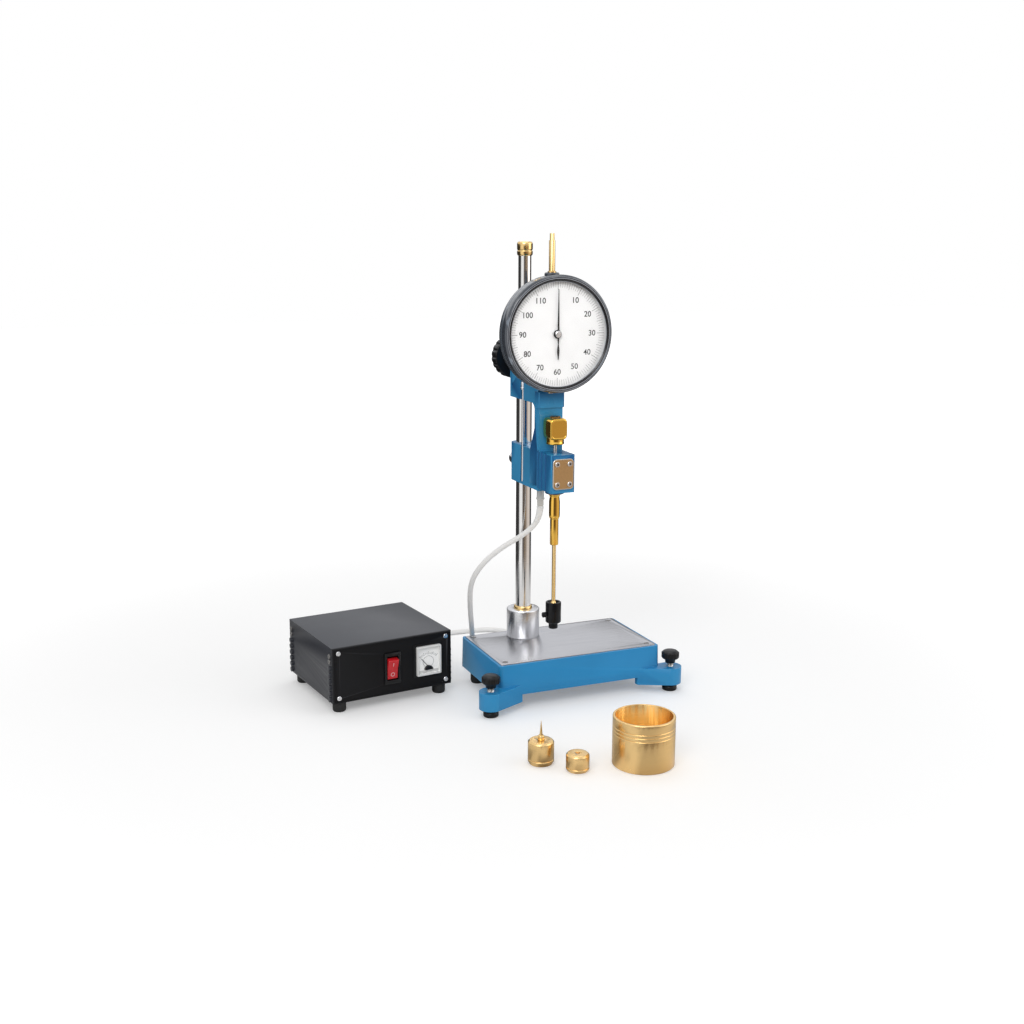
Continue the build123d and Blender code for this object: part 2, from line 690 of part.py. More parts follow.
nodes["chuck_screw"] = (
    along_x(chuck_screw_radius, screw_face, column_x - chuck_bore_radius - small_gap, axis_y,
            chuck_screw_height)
    + along_x(chuck_screw_head_radius, screw_face - chuck_screw_head, screw_face, axis_y,
              chuck_screw_height)
)

# Dial gauge: case, turning bezel with face and crystal
mesh_depth = tooth_depth - tooth_backlash
pitch_radius = pinion_teeth * tooth_pitch / (2 * math.pi)
pinion_outer = pitch_radius + mesh_depth / 2
pinion_root = pitch_radius - mesh_depth / 2 - tooth_backlash
rack_face = dial_x - pitch_radius + mesh_depth / 2
rack_x = rack_face - (rack_radius - rack_flat)
case_front = front_y + face_setback
bezel_back = front_y + bezel_depth
case = along_y(dial_case_radius, case_front, dial_back, dial_x, dial_height)
case += along_y(dial_band_radius, bezel_back + small_gap, dial_back, dial_x, dial_height)
case -= along_y(dial_case_radius - case_wall, case_front - 1, dial_back - case_back, dial_x, dial_height)
case -= upright(rack_radius + running_gap, dial_height - dial_radius - 4, dial_height + dial_radius + 4,
                rack_x, rack_y)
case -= along_y(arbor_radius + running_gap, dial_back - case_back - 3, dial_back - 1, dial_x, dial_height)
nodes["dial_case"] = case
bezel = revolve(
    make_face(Plane.XY * Polyline(
        (dial_window_radius, front_y + 1.2), (dial_window_radius + 1.6, front_y),
        (dial_radius - 2.2, front_y), (dial_radius, front_y + 2.2), (dial_radius, bezel_back),
        (dial_case_radius + running_gap, bezel_back),
        (dial_case_radius + running_gap, case_front - small_gap),
        (face_radius + 0.4, case_front - small_gap), (face_radius + 0.4, front_y + crystal_setback),
        (dial_window_radius, front_y + crystal_setback), close=True)),
    Axis.Y)
nodes["bezel"] = Pos(dial_x, 0, dial_height) * bezel
crystal_near = front_y + crystal_setback
nodes["crystal"] = along_y(face_radius + 0.35, crystal_near, crystal_near + crystal_thickness,
                           dial_x, dial_height)
face_near = case_front - small_gap - face_thickness
dial_face = along_y(face_radius + 0.35, face_near, face_near + face_thickness, dial_x, dial_height)
dial_face -= along_y(arbor_radius + 0.6, face_near - 1, face_near + face_thickness + 1, dial_x, dial_height)
nodes["dial_face"] = dial_face

# Glands where the rack leaves the case, above and below
def rack_gland(low, high):
    ring = upright(gland_radius, low, high, rack_x, rack_y)
    ring -= upright(rack_radius + running_gap, low - 1, high + 1, rack_x, rack_y)
    ring -= along_y(dial_band_radius, rack_y - 20, rack_y + 20, dial_x, dial_height)
    ring -= along_y(dial_radius + small_gap, front_y - 1, bezel_back + small_gap, dial_x, dial_height)
    return ring


nodes["rack_glands"] = group([
    rack_gland(dial_height + dial_band_radius - 3, dial_height + dial_radius + gland_height),
    rack_gland(dial_height - dial_radius - 0.1, dial_height - dial_band_radius + 3),
])

# Rack: a round rod with a flat of teeth that meets the pinion
rack = upright(rack_radius, rack_foot, rack_top, rack_x, rack_y)
rack += upright(rack_tip_radius, rack_top, rack_top + rack_tip, rack_x, rack_y)
rack_low = dial_height - 8.0
rack_high = dial_height + rack_travel + 8.0
rack -= block(rack_face, rack_x + rack_radius + 1, rack_y - rack_radius - 1, rack_y + rack_radius + 1,
              rack_low, rack_high)
tooth_root = rack_face - tooth_depth - tooth_backlash
for index in range(-6, int(rack_travel) + 7):
    valley = dial_height + index * tooth_pitch
    rack -= front_profile(
        [(tooth_root, valley - 0.17), (rack_face + 0.1, valley - 0.39), (rack_face + 0.1, valley + 0.39),
         (tooth_root, valley + 0.17)], rack_y - rack_radius - 1, rack_y + rack_radius + 1)
nodes["rack"] = rack

# Pinion on its arbor, with the pointer at the front
pointer_near = crystal_near + crystal_thickness + 0.5
arbor = along_y(arbor_radius, pointer_near, dial_back - case_back + 0.8, dial_x, dial_height)
pinion_near = rack_y - 2.2
pinion_far = rack_y + 2.2
gear = along_y(pinion_root, pinion_near, pinion_far, dial_x, dial_height)
for index in range(pinion_teeth):
    tooth = front_profile(
        [(-0.27, pinion_root - 0.3), (-0.19, pitch_radius - 0.05), (-0.07, pinion_outer),
         (0.07, pinion_outer), (0.19, pitch_radius - 0.05), (0.27, pinion_root - 0.3)], pinion_near, pinion_far)
    gear += Pos(dial_x, 0, dial_height) * Rot(0, 90 + 360 * index / pinion_teeth, 0) * tooth
nodes["pinion"] = arbor + gear
blade = [
    (-pointer_tail_width / 2, -pointer_tail), (pointer_tail_width / 2, -pointer_tail),
    (pointer_tail_width / 2, -pointer_tail * 0.35), (pointer_width / 2, 0), (0.35, pointer_length),
    (-0.35, pointer_length), (-pointer_width / 2, 0), (-pointer_tail_width / 2, -pointer_tail * 0.35)]
pointer_far = pointer_near + 0.7 + pointer_thickness
pointer = Pos(dial_x, 0, dial_height) * front_profile(blade, pointer_far - pointer_thickness, pointer_far)
pointer += along_y(pointer_hub_radius, pointer_near, pointer_far, dial_x, dial_height)
pointer -= along_y(arbor_radius, pointer_near - 1, pointer_far + 1, dial_x, dial_height)
nodes["pointer"] = pointer


# Control box, built straight and then turned to its place
def panel_place(shape):
    return Pos(box_x, box_y, 0) * Rot(0, 0, box_turn) * shape


half_width = box_width / 2
half_depth = box_depth / 2
panel_back = -half_depth + panel_thickness
chassis = block(-half_width + sheet, half_width - sheet, panel_back, half_depth, box_bottom, box_bottom + sheet)
chassis += block(-half_width + sheet, half_width - sheet, half_depth - sheet, half_depth,
                 box_bottom, box_top - sheet)
for side in (-1, 1):
    edge = side * (half_width - sheet)
    chassis += block(min(edge, edge - side * 8), max(edge, edge - side * 8), panel_back, half_depth,
                     box_bottom, box_bottom + sheet + 1)
inlet_z = (box_bottom + box_top) / 2
chassis -= block(-inlet_x - inlet_width / 2, -inlet_x + inlet_width / 2, half_depth - 5, half_depth + 1,
                 inlet_z - inlet_height / 2, inlet_z + inlet_height / 2)
chassis -= along_y(box_socket_radius - 2, half_depth - 5, half_depth + 1, box_socket_x, box_socket_z)
cover = block(-half_width, half_width, -half_depth + panel_thickness + small_gap / 3, half_depth,
              box_bottom, box_top)
cover -= block(-half_width + sheet, half_width - sheet, -half_depth, half_depth + 1,
               box_bottom - 1, box_top - sheet)
for side in (-1, 1):
    for stud_y in (-half_depth + side_stud_front, half_depth - side_stud_back):
        for index in range(side_stud_count):
            stud_z = box_bottom + 4 + index * side_stud_spacing
            cover += along_x(side_stud_radius, min(side * (half_width - 1), side * (half_width + side_stud_height)),
                             max(side * (half_width - 1), side * (half_width + side_stud_height)), stud_y, stud_z)
front_panel = block(-half_width, half_width, -half_depth, panel_back, box_bottom, box_top)
front_panel = chamfer(front_panel.faces().sort_by(Axis.Y)[0].edges(), 0.8)
inner_w = half_width - panel_rim
front_panel -= block(-inner_w, inner_w, -half_depth - 1, -half_depth + 0.8,
                     box_bottom + panel_rim, box_top - panel_rim)
panel_face = -half_depth + 0.8
front_panel -= block(switch_x - rocker_width / 2 - 1.6, switch_x + rocker_width / 2 + 1.6,
                     -half_depth - 1, panel_back + 1,
                     switch_z - rocker_height / 2 - 1.6, switch_z + rocker_height / 2 + 1.6)
front_panel -= block(meter_x - meter_width / 2 + 3, meter_x + meter_width / 2 - 3,
                     -half_depth - 1, panel_back + 1,
                     meter_z - meter_height / 2 + 3, meter_z + meter_height / 2 - 3)
panel_screws = [
    (sx * (half_width - panel_screw_inset_x), (box_bottom + box_top) / 2
     + sz * ((box_top - box_bottom) / 2 - panel_screw_inset_z))
    for sx in (-1, 1) for sz in (-1, 1)
]
for x, z in panel_screws:
    front_panel -= along_y(panel_screw_shank_radius + running_gap, -half_depth - 1, panel_back + 1, x, z)
nodes["box_chassis"] = panel_place(chassis)
nodes["box_cover"] = panel_place(cover)
nodes["front_panel"] = panel_place(front_panel)


def panel_screw(x, z):
    head = along_y(panel_screw_head_radius, panel_face - 1.4, panel_face, x, z)
    head = chamfer(head.edges().group_by(Axis.Y)[0], 0.7)
    return head + along_y(panel_screw_shank_radius, panel_face, panel_back + 3, x, z)


nodes["panel_screws"] = panel_place(group(panel_screw(x, z) for x, z in panel_screws))
nodes["box_feet"] = panel_place(group(
    turned([(0, 0), (box_foot_radius - 1, 0), (box_foot_radius, 2), (box_foot_radius, box_bottom),
            (0, box_bottom)],
           sx * (half_width - box_foot_inset), sy * (half_depth - box_foot_inset))
    for sx in (-1, 1) for sy in (-1, 1)
))

# Rocker switch: a frame in the panel and a tilting rocker on a pivot
switch_front = panel_face - 1.8
frame = block(switch_x - switch_width / 2, switch_x + switch_width / 2, switch_front, panel_face,
              switch_z - switch_height / 2, switch_z + switch_height / 2)
frame += block(switch_x - rocker_width / 2 - 1.5, switch_x + rocker_width / 2 + 1.5, panel_face, panel_back + 14,
               switch_z - rocker_height / 2 - 1.5, switch_z + rocker_height / 2 + 1.5)
frame -= block(switch_x - rocker_width / 2 - small_gap, switch_x + rocker_width / 2 + small_gap,
               switch_front - 1, panel_back + 12,
               switch_z - rocker_height / 2 - small_gap, switch_z + rocker_height / 2 + small_gap)
nodes["switch_frame"] = panel_place(frame)
rocker_pivot_y = panel_back + 1.0
rocker_half = rocker_height / 2 - 1.7
rocker = side_profile(
    [(-4.8, 0), (-6.2, rocker_half), (1, rocker_half), (6, 3), (6, -3), (1, -rocker_half), (-6.2, -rocker_half)],
    switch_x - rocker_width / 2 + small_gap / 3, switch_x + rocker_width / 2 - small_gap / 3)
rocker = Pos(0, rocker_pivot_y, switch_z) * Rot(rocker_tilt, 0, 0) * rocker
nodes["rocker"] = panel_place(rocker)

# Panel meter: case, window, scale and needle
meter_near = panel_face - meter_front
case_low = meter_z - meter_height / 2
case_high = meter_z + meter_height / 2
meter_case = block(meter_x - meter_width / 2, meter_x + meter_width / 2, meter_near, panel_face,
                   case_low, case_high)
meter_case = fillet(meter_case.edges().filter_by(Axis.Y), 1.5)
meter_case += block(meter_x - meter_width / 2 + 3.2, meter_x + meter_width / 2 - 3.2, panel_face,
                    panel_face + meter_back, case_low + 3.2, case_high - 3.2)
meter_case -= block(meter_x - meter_width / 2 + 2, meter_x + meter_width / 2 - 2, meter_near - 1,
                    panel_face - 0.6, case_low + 2, case_high - 2)
nodes["meter_case"] = panel_place(meter_case)
nodes["meter_window"] = panel_place(block(
    meter_x - meter_width / 2 + 2.05, meter_x + meter_width / 2 - 2.05, meter_near + 0.4, meter_near + 1.2,
    case_low + 2.05, case_high - 2.05))
pivot_z = meter_z - meter_pivot_drop
needle_y = panel_face - 1.6
meter_needle = block(meter_x - 0.35, meter_x + 0.35, needle_y - 0.3, needle_y, pivot_z,
                     pivot_z + meter_needle_length)
meter_needle = Pos(meter_x, 0, pivot_z) * Rot(0, -40, 0) * Pos(-meter_x, 0, -pivot_z) * meter_needle
meter_needle += along_y(1.4, needle_y - 0.6, needle_y + 0.5, meter_x, pivot_z)
nodes["meter_needle"] = panel_place(meter_needle)

# Transformer on the chassis floor, mains inlet and signal socket at the back
transformer = block(-45, -45 + transformer_size, 5, 5 + transformer_size * 0.8, box_bottom + sheet,
                    box_bottom + sheet + transformer_size * 0.85)
transformer = fillet(transformer.edges().filter_by(Axis.Z), 2)
nodes["transformer"] = panel_place(transformer)
nodes["timer_board"] = panel_place(
    block(5, 60, -35, 40, box_bottom + sheet + 6, box_bottom + sheet + 7.6)
    + upright(2.5, box_bottom + sheet, box_bottom + sheet + 6, 10, -28)
    + upright(2.5, box_bottom + sheet, box_bottom + sheet + 6, 55, -28)
    + upright(2.5, box_bottom + sheet, box_bottom + sheet + 6, 10, 33)
    + upright(2.5, box_bottom + sheet, box_bottom + sheet + 6, 55, 33)
    + upright(7, box_bottom + sheet + 7.6, box_bottom + sheet + 27, 22, 15)
)
inlet = block(-inlet_x - inlet_width / 2 + 0.1, -inlet_x + inlet_width / 2 - 0.1, half_depth - inlet_depth,
              half_depth, inlet_z - inlet_height / 2 + 0.1, inlet_z + inlet_height / 2 - 0.1)
inlet += block(-inlet_x - inlet_width / 2 - 3, -inlet_x + inlet_width / 2 + 3, half_depth, half_depth + 2,
               inlet_z - inlet_height / 2 - 2, inlet_z + inlet_height / 2 + 2)
inlet -= block(-inlet_x - inlet_width / 2 + 2, -inlet_x + inlet_width / 2 - 2, half_depth - inlet_depth + 2,
               half_depth + 3, inlet_z - inlet_height / 2 + 2, inlet_z + inlet_height / 2 - 2)
for index in (-1, 0, 1):
    inlet += block(-inlet_x + index * 7 - 1, -inlet_x + index * 7 + 1, half_depth - inlet_depth + 1.5,
                   half_depth - 2, inlet_z - 2, inlet_z + 2)
nodes["mains_inlet"] = panel_place(inlet)
socket_near = half_depth
signal_socket = along_y(box_socket_radius, socket_near, socket_near + 3, box_socket_x, box_socket_z)
signal_socket += along_y(box_socket_radius - 2.1, socket_near - 6, socket_near, box_socket_x, box_socket_z)
nodes["signal_socket"] = panel_place(signal_socket)

# Signal cable: connector under the head, tube down behind the base and along the table, plug at the box
plug_far = socket_near + 3 + connector_length
nodes["box_plug"] = panel_place(
    along_y(connector_radius + 1.6, socket_near + 3, socket_near + 3 + connector_length * 0.6,
            box_socket_x, box_socket_z)
    + along_y(connector_radius, socket_near + 3 + connector_length * 0.6, plug_far, box_socket_x, box_socket_z)
)
tail_low = connector_seat - connector_length
nodes["head_plug"] = turned([
    (0, tail_low - connector_tail), (gland_tail_radius, tail_low - connector_tail),
    (connector_radius - 0.6, tail_low - 1), (connector_radius + 0.5, tail_low - 1),
    (connector_radius + 0.5, tail_low + 1), (connector_radius, tail_low + 1.4),
    (connector_radius, connector_seat), (0, connector_seat)], column_x, connector_y)
turn = math.radians(box_turn)
plug_x = box_x + box_socket_x * math.cos(turn) - plug_far * math.sin(turn)
plug_y = box_y + box_socket_x * math.sin(turn) + plug_far * math.cos(turn)
plug_run = 30.0
floor_z = cable_radius + 0.2
hang = tail_low - connector_tail
cable_route = [
    (column_x, connector_y, hang),
    (column_x, connector_y, 0.88 * hang),
    (-50.0, 1.0, 0.81 * hang),
    (-76.0, 16.0, 0.73 * hang),
    (-92.5, 28.0, 0.64 * hang),
    (-97.0, 38.0, 0.55 * hang),
    (-90.0, 54.0, 0.41 * hang),
    (-79.0, 76.0, 0.25 * hang),
    (-67.0, 103.0, 0.042 * hang),
    (-52.0, 130.0, floor_z),
    (-4.0, 150.0, floor_z),
    (28.0, 184.0, floor_z),
    (8.0, 220.0, floor_z),
    (-44.0, 226.0, floor_z),
    (-96.0, 220.0, floor_z),
    (-146.0, 208.0, 12.0),
    (plug_x - plug_run * math.sin(turn), plug_y + plug_run * math.cos(turn), box_socket_z),
    (plug_x, plug_y, box_socket_z),
]


def corner_radii(route):
    radii = []
    for before, here, after in zip(route, route[1:], route[2:]):
        inward = Vector(*here) - Vector(*before)
        outward = Vector(*after) - Vector(*here)
        half_turn = math.radians(inward.get_angle(outward)) / 2
        radii.append(0.45 * min(inward.length, outward.length) / math.tan(half_turn))
    return radii


cable_radii = corner_radii(cable_route)
print("cable radii", [round(radius, 1) for radius in cable_radii])
cable_path = FilletPolyline(*cable_route, radius=cable_radii)
start = cable_path @ 0
heading = cable_path % 0
cable = sweep(Plane(origin=start, z_dir=heading) * Circle(cable_radius), path=cable_path)
print("cable length", round(cable_path.length, 1), "volume ratio",
      round(cable.volume / (math.pi * cable_radius ** 2 * cable_path.length), 4))
nodes["signal_cable"] = cable

# Accessories: sample cup, 100 g weight with its needle, 50 g weight
def groove(radius, height, depth, width):
    return [(radius, height), (radius - depth, height + width * 0.3), (radius - depth, height + width * 0.7),
            (radius, height + width)]


cup_grooves = []
for index in range(3):
    cup_grooves += groove(cup_radius, 0.66 * cup_height + index * cup_groove_spacing, cup_groove, cup_groove_width)
nodes["sample_cup"] = turned([
    (0, 0), (cup_radius - 1, 0), (cup_radius, 1), *cup_grooves,
    (cup_radius, cup_height - 0.6), (cup_radius - 0.6, cup_height),
    (cup_radius - cup_wall, cup_height), (cup_radius - cup_wall, cup_floor), (0, cup_floor)], cup_x, cup_y)


def weight(radius, height, x, y):
    return turned([
        (weight_bore_radius, 0), (radius - 2.0, 0), (radius - 1.4, 0.6), (radius - 1.4, height * 0.10),
        (radius, height * 0.12), *groove(radius, height * 0.2, 0.5, 0.9), (radius, height - 1.8),
        (radius - 1.8, height), (weight_bore_radius, height)], x, y)


nodes["weight_hundred"] = weight(weight_hundred_radius, weight_hundred_height, weight_hundred_x,
                                 weight_hundred_y)
nodes["weight_fifty"] = weight(weight_fifty_radius, weight_fifty_height, weight_fifty_x, weight_fifty_y)
nodes["test_needle"] = turned([
    (0, 1), (weight_bore_radius - running_gap, 1), (weight_bore_radius - running_gap, weight_hundred_height),
    (needle_collar_radius, weight_hundred_height),
    (needle_collar_radius, weight_hundred_height + needle_collar_height - 1),
    (needle_collar_radius - 1, weight_hundred_height + needle_collar_height),
    (needle_shank_radius, weight_hundred_height + needle_collar_height),
    (0.15, weight_hundred_height + needle_collar_height + needle_length),
    (0, weight_hundred_height + needle_collar_height + needle_length)],
    weight_hundred_x, weight_hundred_y)

# The origin is the middle of the set's footprint on the table, without the cable and its plugs
cord_nodes = ("signal_cable", "head_plug", "box_plug")
boxes = [shape.bounding_box() for name, shape in nodes.items() if name not in cord_nodes]
middle_x = (min(box.min.X for box in boxes) + max(box.max.X for box in boxes)) / 2
middle_y = (min(box.min.Y for box in boxes) + max(box.max.Y for box in boxes)) / 2
print("set moved by", round(-middle_x, 3), round(-middle_y, 3), "nodes", len(nodes))
os.makedirs("parts", exist_ok=True)
for name, shape in nodes.items():
    export_step(Pos(-middle_x, -middle_y, 0) * shape, "parts/" + name + ".step")
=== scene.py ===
import bpy
import bmesh
import math
from mathutils import Matrix, Vector


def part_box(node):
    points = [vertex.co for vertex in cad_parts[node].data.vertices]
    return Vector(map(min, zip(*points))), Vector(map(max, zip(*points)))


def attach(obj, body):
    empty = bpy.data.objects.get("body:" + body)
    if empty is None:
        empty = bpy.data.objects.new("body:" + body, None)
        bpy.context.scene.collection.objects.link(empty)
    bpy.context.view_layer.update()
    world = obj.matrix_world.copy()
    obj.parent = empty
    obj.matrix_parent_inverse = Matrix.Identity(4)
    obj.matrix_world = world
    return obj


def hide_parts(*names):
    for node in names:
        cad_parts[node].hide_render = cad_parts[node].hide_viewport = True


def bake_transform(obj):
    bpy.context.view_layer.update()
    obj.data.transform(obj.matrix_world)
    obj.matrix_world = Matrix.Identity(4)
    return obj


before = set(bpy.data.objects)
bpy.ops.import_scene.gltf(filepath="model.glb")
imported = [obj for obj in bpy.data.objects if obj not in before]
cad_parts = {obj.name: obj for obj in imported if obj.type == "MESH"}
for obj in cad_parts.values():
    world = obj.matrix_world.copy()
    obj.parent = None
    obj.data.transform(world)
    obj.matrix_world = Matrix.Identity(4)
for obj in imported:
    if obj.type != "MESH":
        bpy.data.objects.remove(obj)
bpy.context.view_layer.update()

# Where the stand is.
# The set is laid out from the middle of the ground plate, so each place below is written from there,
# in metres, as in the drawings of the stand.
plate_low, plate_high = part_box("top_plate")
stand_x = (plate_low[0] + plate_high[0]) / 2
stand_y = (plate_low[1] + plate_high[1]) / 2


def at(x, y, z):
    return Vector((stand_x + x, stand_y + y, z))


# Camera.
# A normal lens a metre and a half away, a little above the head and to the left of the stand.
camera_azimuth = math.radians(-23.0)
camera_height = math.radians(12.3)
camera_roll = math.radians(0.2)
camera_distance = 1.448
camera_aim = at(-0.0602, 0.0, 0.2106)
behind = Vector((
    math.sin(camera_azimuth) * math.cos(camera_height),
    -math.cos(camera_azimuth) * math.cos(camera_height),
    math.sin(camera_height)))
level_right = Vector((math.cos(camera_azimuth), math.sin(camera_azimuth), 0.0))
level_up = behind.cross(level_right)
camera_right = level_right * math.cos(camera_roll) + level_up * math.sin(camera_roll)
camera_up = behind.cross(camera_right)
camera_data = bpy.data.cameras.new("camera")
camera_data.sensor_width = 36.0
camera_data.lens = 45.7
camera_data.clip_end = 20.0
camera = bpy.data.objects.new("camera", camera_data)
place = Matrix((camera_right, camera_up, behind)).transposed().to_4x4()
place.translation = camera_aim + behind * camera_distance
camera.matrix_world = place
bpy.context.collection.objects.link(camera)
bpy.context.scene.camera = camera
bpy.context.scene.view_settings.view_transform = "Standard"


# Floor and light.
# A white sweep under large soft lamps. Bright metal mirrors the floor some way off, where dark and
# brown screens lie in a ring: they draw the dark edges and the streaks of the column and the tubes.
screen_bands = (
    (0.000, (0.25, 0.25, 0.25)), (0.042, (0.04, 0.04, 0.04)), (0.285, (0.04, 0.04, 0.04)),
    (0.328, (0.95, 0.95, 0.95)), (0.425, (1.00, 1.00, 1.00)), (0.472, (0.10, 0.08, 0.07)),
    (0.575, (0.17, 0.13, 0.10)), (0.633, (0.48, 0.40, 0.34)), (0.710, (0.80, 0.72, 0.65)),
    (0.785, (0.60, 0.54, 0.50)), (0.822, (0.04, 0.04, 0.04)), (0.958, (0.04, 0.04, 0.04)),
    (1.000, (0.25, 0.25, 0.25)))


def working(nodes, kind, operation):
    node = nodes.new(kind)
    node.operation = operation
    return node


def give(node, values):
    for socket, value in values.items():
        node.inputs[socket].default_value = value


def screens_colour(nodes, links, spot, middle=(0.0, 0.0, 0.0)):
    outward = working(nodes, "ShaderNodeVectorMath", "SUBTRACT")
    outward.inputs[1].default_value = middle
    links.new(spot, outward.inputs[0])
    sides = []
    for direction in ((math.cos(camera_azimuth), math.sin(camera_azimuth), 0.0),
                      (math.sin(camera_azimuth), -math.cos(camera_azimuth), 0.0)):
        share = working(nodes, "ShaderNodeVectorMath", "DOT_PRODUCT")
        share.inputs[1].default_value = direction
        links.new(outward.outputs["Vector"], share.inputs[0])
        sides.append(share)
    bearing = working(nodes, "ShaderNodeMath", "ARCTAN2")
    links.new(sides[0].outputs["Value"], bearing.inputs[0])
    links.new(sides[1].outputs["Value"], bearing.inputs[1])
    round_share = nodes.new("ShaderNodeMapRange")
    give(round_share, {"From Min": -math.pi, "From Max": math.pi})
    links.new(bearing.outputs["Value"], round_share.inputs["Value"])
    screens = nodes.new("ShaderNodeValToRGB")
    ramp = screens.color_ramp
    ramp.elements[0].color = (*screen_bands[0][1], 1.0)
    ramp.elements[1].color = (*screen_bands[-1][1], 1.0)
    for band_start, colour in screen_bands[1:-1]:
        band = ramp.elements.new(band_start)
        band.color = (*colour, 1.0)
    links.new(round_share.outputs["Result"], screens.inputs["Fac"])
    return screens.outputs["Color"]


loose_mirror_share = 0.32
mirror_zones = [(at(-0.031, 0.0, 0.0), 0.35, 0.60, 1.0)]
for loose, reach in (("sample_cup", 0.17), ("weight_hundred", 0.050), ("weight_fifty", 0.036)):
    loose_low, loose_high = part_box(loose)
    mirror_zones.append((((loose_low[0] + loose_high[0]) / 2, (loose_low[1] + loose_high[1]) / 2, 0.0),
                         reach * 1.15, reach * 0.85, loose_mirror_share))


def paper_material():
    material = bpy.data.materials.new("white_paper")
    material.use_nodes = True
    nodes = material.node_tree.nodes
    links = material.node_tree.links
    shader = nodes["Principled BSDF"]
    give(shader, {"Base Color": (0.80, 0.80, 0.80, 1.0), "Roughness": 0.9, "Specular IOR Level": 0.1})
    where = nodes.new("ShaderNodeTexCoord")
    far = working(nodes, "ShaderNodeVectorMath", "LENGTH")
    links.new(where.outputs["Object"], far.inputs[0])
    spread = nodes.new("ShaderNodeMapRange")
    spread.interpolation_type = "SMOOTHSTEP"
    give(spread, {"From Min": 0.35, "From Max": 1.8, "To Min": 0.24, "To Max": 0.80})
    links.new(far.outputs["Value"], spread.inputs["Value"])
    ray = nodes.new("ShaderNodeLightPath")
    lift = working(nodes, "ShaderNodeMath", "MULTIPLY")
    links.new(spread.outputs["Result"], lift.inputs[0])
    links.new(ray.outputs["Is Camera Ray"], lift.inputs[1])
    links.new(lift.outputs["Value"], shader.inputs["Emission Strength"])
    shader.inputs["Emission Color"].default_value = (1.0, 1.0, 1.0, 1.0)
    paper = shader.outputs["BSDF"]
    for middle, near, away, mirror_share in mirror_zones:
        screens = nodes.new("ShaderNodeEmission")
        links.new(screens_colour(nodes, links, where.outputs["Object"], middle), screens.inputs["Color"])
        reach = working(nodes, "ShaderNodeVectorMath", "DISTANCE")
        reach.inputs[1].default_value = middle
        links.new(where.outputs["Object"], reach.inputs[0])
        zone = nodes.new("ShaderNodeMapRange")
        zone.interpolation_type = "SMOOTHSTEP"
        give(zone, {"From Min": near, "From Max": away, "To Max": mirror_share})
        links.new(reach.outputs["Value"], zone.inputs["Value"])
        in_metal = working(nodes, "ShaderNodeMath", "MULTIPLY")
        links.new(zone.outputs["Result"], in_metal.inputs[0])
        links.new(ray.outputs["Is Glossy Ray"], in_metal.inputs[1])
        both = nodes.new("ShaderNodeMixShader")
        links.new(in_metal.outputs["Value"], both.inputs["Fac"])
        links.new(paper, both.inputs[1])
        links.new(screens.outputs["Emission"], both.inputs[2])
        paper = both.outputs["Shader"]
    links.new(paper, nodes["Material Output"].inputs["Surface"])
    return material


floor_mesh = bpy.data.meshes.new("floor")
floor_mesh.from_pydata([(-6, -6, 0), (6, -6, 0), (6, 6, 0), (-6, 6, 0)], [], [(0, 1, 2, 3)])
floor = bpy.data.objects.new("floor", floor_mesh)
bpy.context.collection.objects.link(floor)
floor_mesh.materials.append(paper_material())

world = bpy.data.worlds.new("studio")
bpy.context.scene.world = world
world.use_nodes = True
world_nodes = world.node_tree.nodes
world_links = world.node_tree.links
walls = world_nodes["Background"]
give(walls, {"Color": (1.0, 1.0, 1.0, 1.0), "Strength": 0.48})
heading = world_nodes.new("ShaderNodeTexCoord")
height = world_nodes.new("ShaderNodeSeparateXYZ")
world_links.new(heading.outputs["Generated"], height.inputs["Vector"])
above_screens = world_nodes.new("ShaderNodeMapRange")
above_screens.interpolation_type = "SMOOTHSTEP"
give(above_screens, {"From Min": 0.10, "From Max": 0.22})
world_links.new(height.outputs["Z"], above_screens.inputs["Value"])
backdrop = world_nodes.new("ShaderNodeMix")
backdrop.data_type = "RGBA"
backdrop.inputs["B"].default_value = (0.88, 0.89, 0.92, 1.0)
world_links.new(above_screens.outputs["Result"], backdrop.inputs["Factor"])
world_links.new(screens_colour(world_nodes, world_links, heading.outputs["Generated"]), backdrop.inputs["A"])
mirrored = world_nodes.new("ShaderNodeBackground")
mirrored.inputs["Strength"].default_value = 1.0
world_links.new(backdrop.outputs["Result"], mirrored.inputs["Color"])
seen = world_nodes.new("ShaderNodeBackground")
give(seen, {"Color": (1.0, 1.0, 1.0, 1.0), "Strength": 1.0})
ray = world_nodes.new("ShaderNodeLightPath")
for_metal = world_nodes.new("ShaderNodeMixShader")
world_links.new(ray.outputs["Is Glossy Ray"], for_metal.inputs["Fac"])
world_links.new(walls.outputs["Background"], for_metal.inputs[1])
world_links.new(mirrored.outputs["Background"], for_metal.inputs[2])
direct = working(world_nodes, "ShaderNodeMath", "MAXIMUM")
world_links.new(ray.outputs["Is Camera Ray"], direct.inputs[0])
world_links.new(ray.outputs["Is Transmission Ray"], direct.inputs[1])
for_eye = world_nodes.new("ShaderNodeMixShader")
world_links.new(direct.outputs["Value"], for_eye.inputs["Fac"])
world_links.new(for_metal.outputs["Shader"], for_eye.inputs[1])
world_links.new(seen.outputs["Background"], for_eye.inputs[2])
world_links.new(for_eye.outputs["Shader"], world_nodes["World Output"].inputs["Surface"])
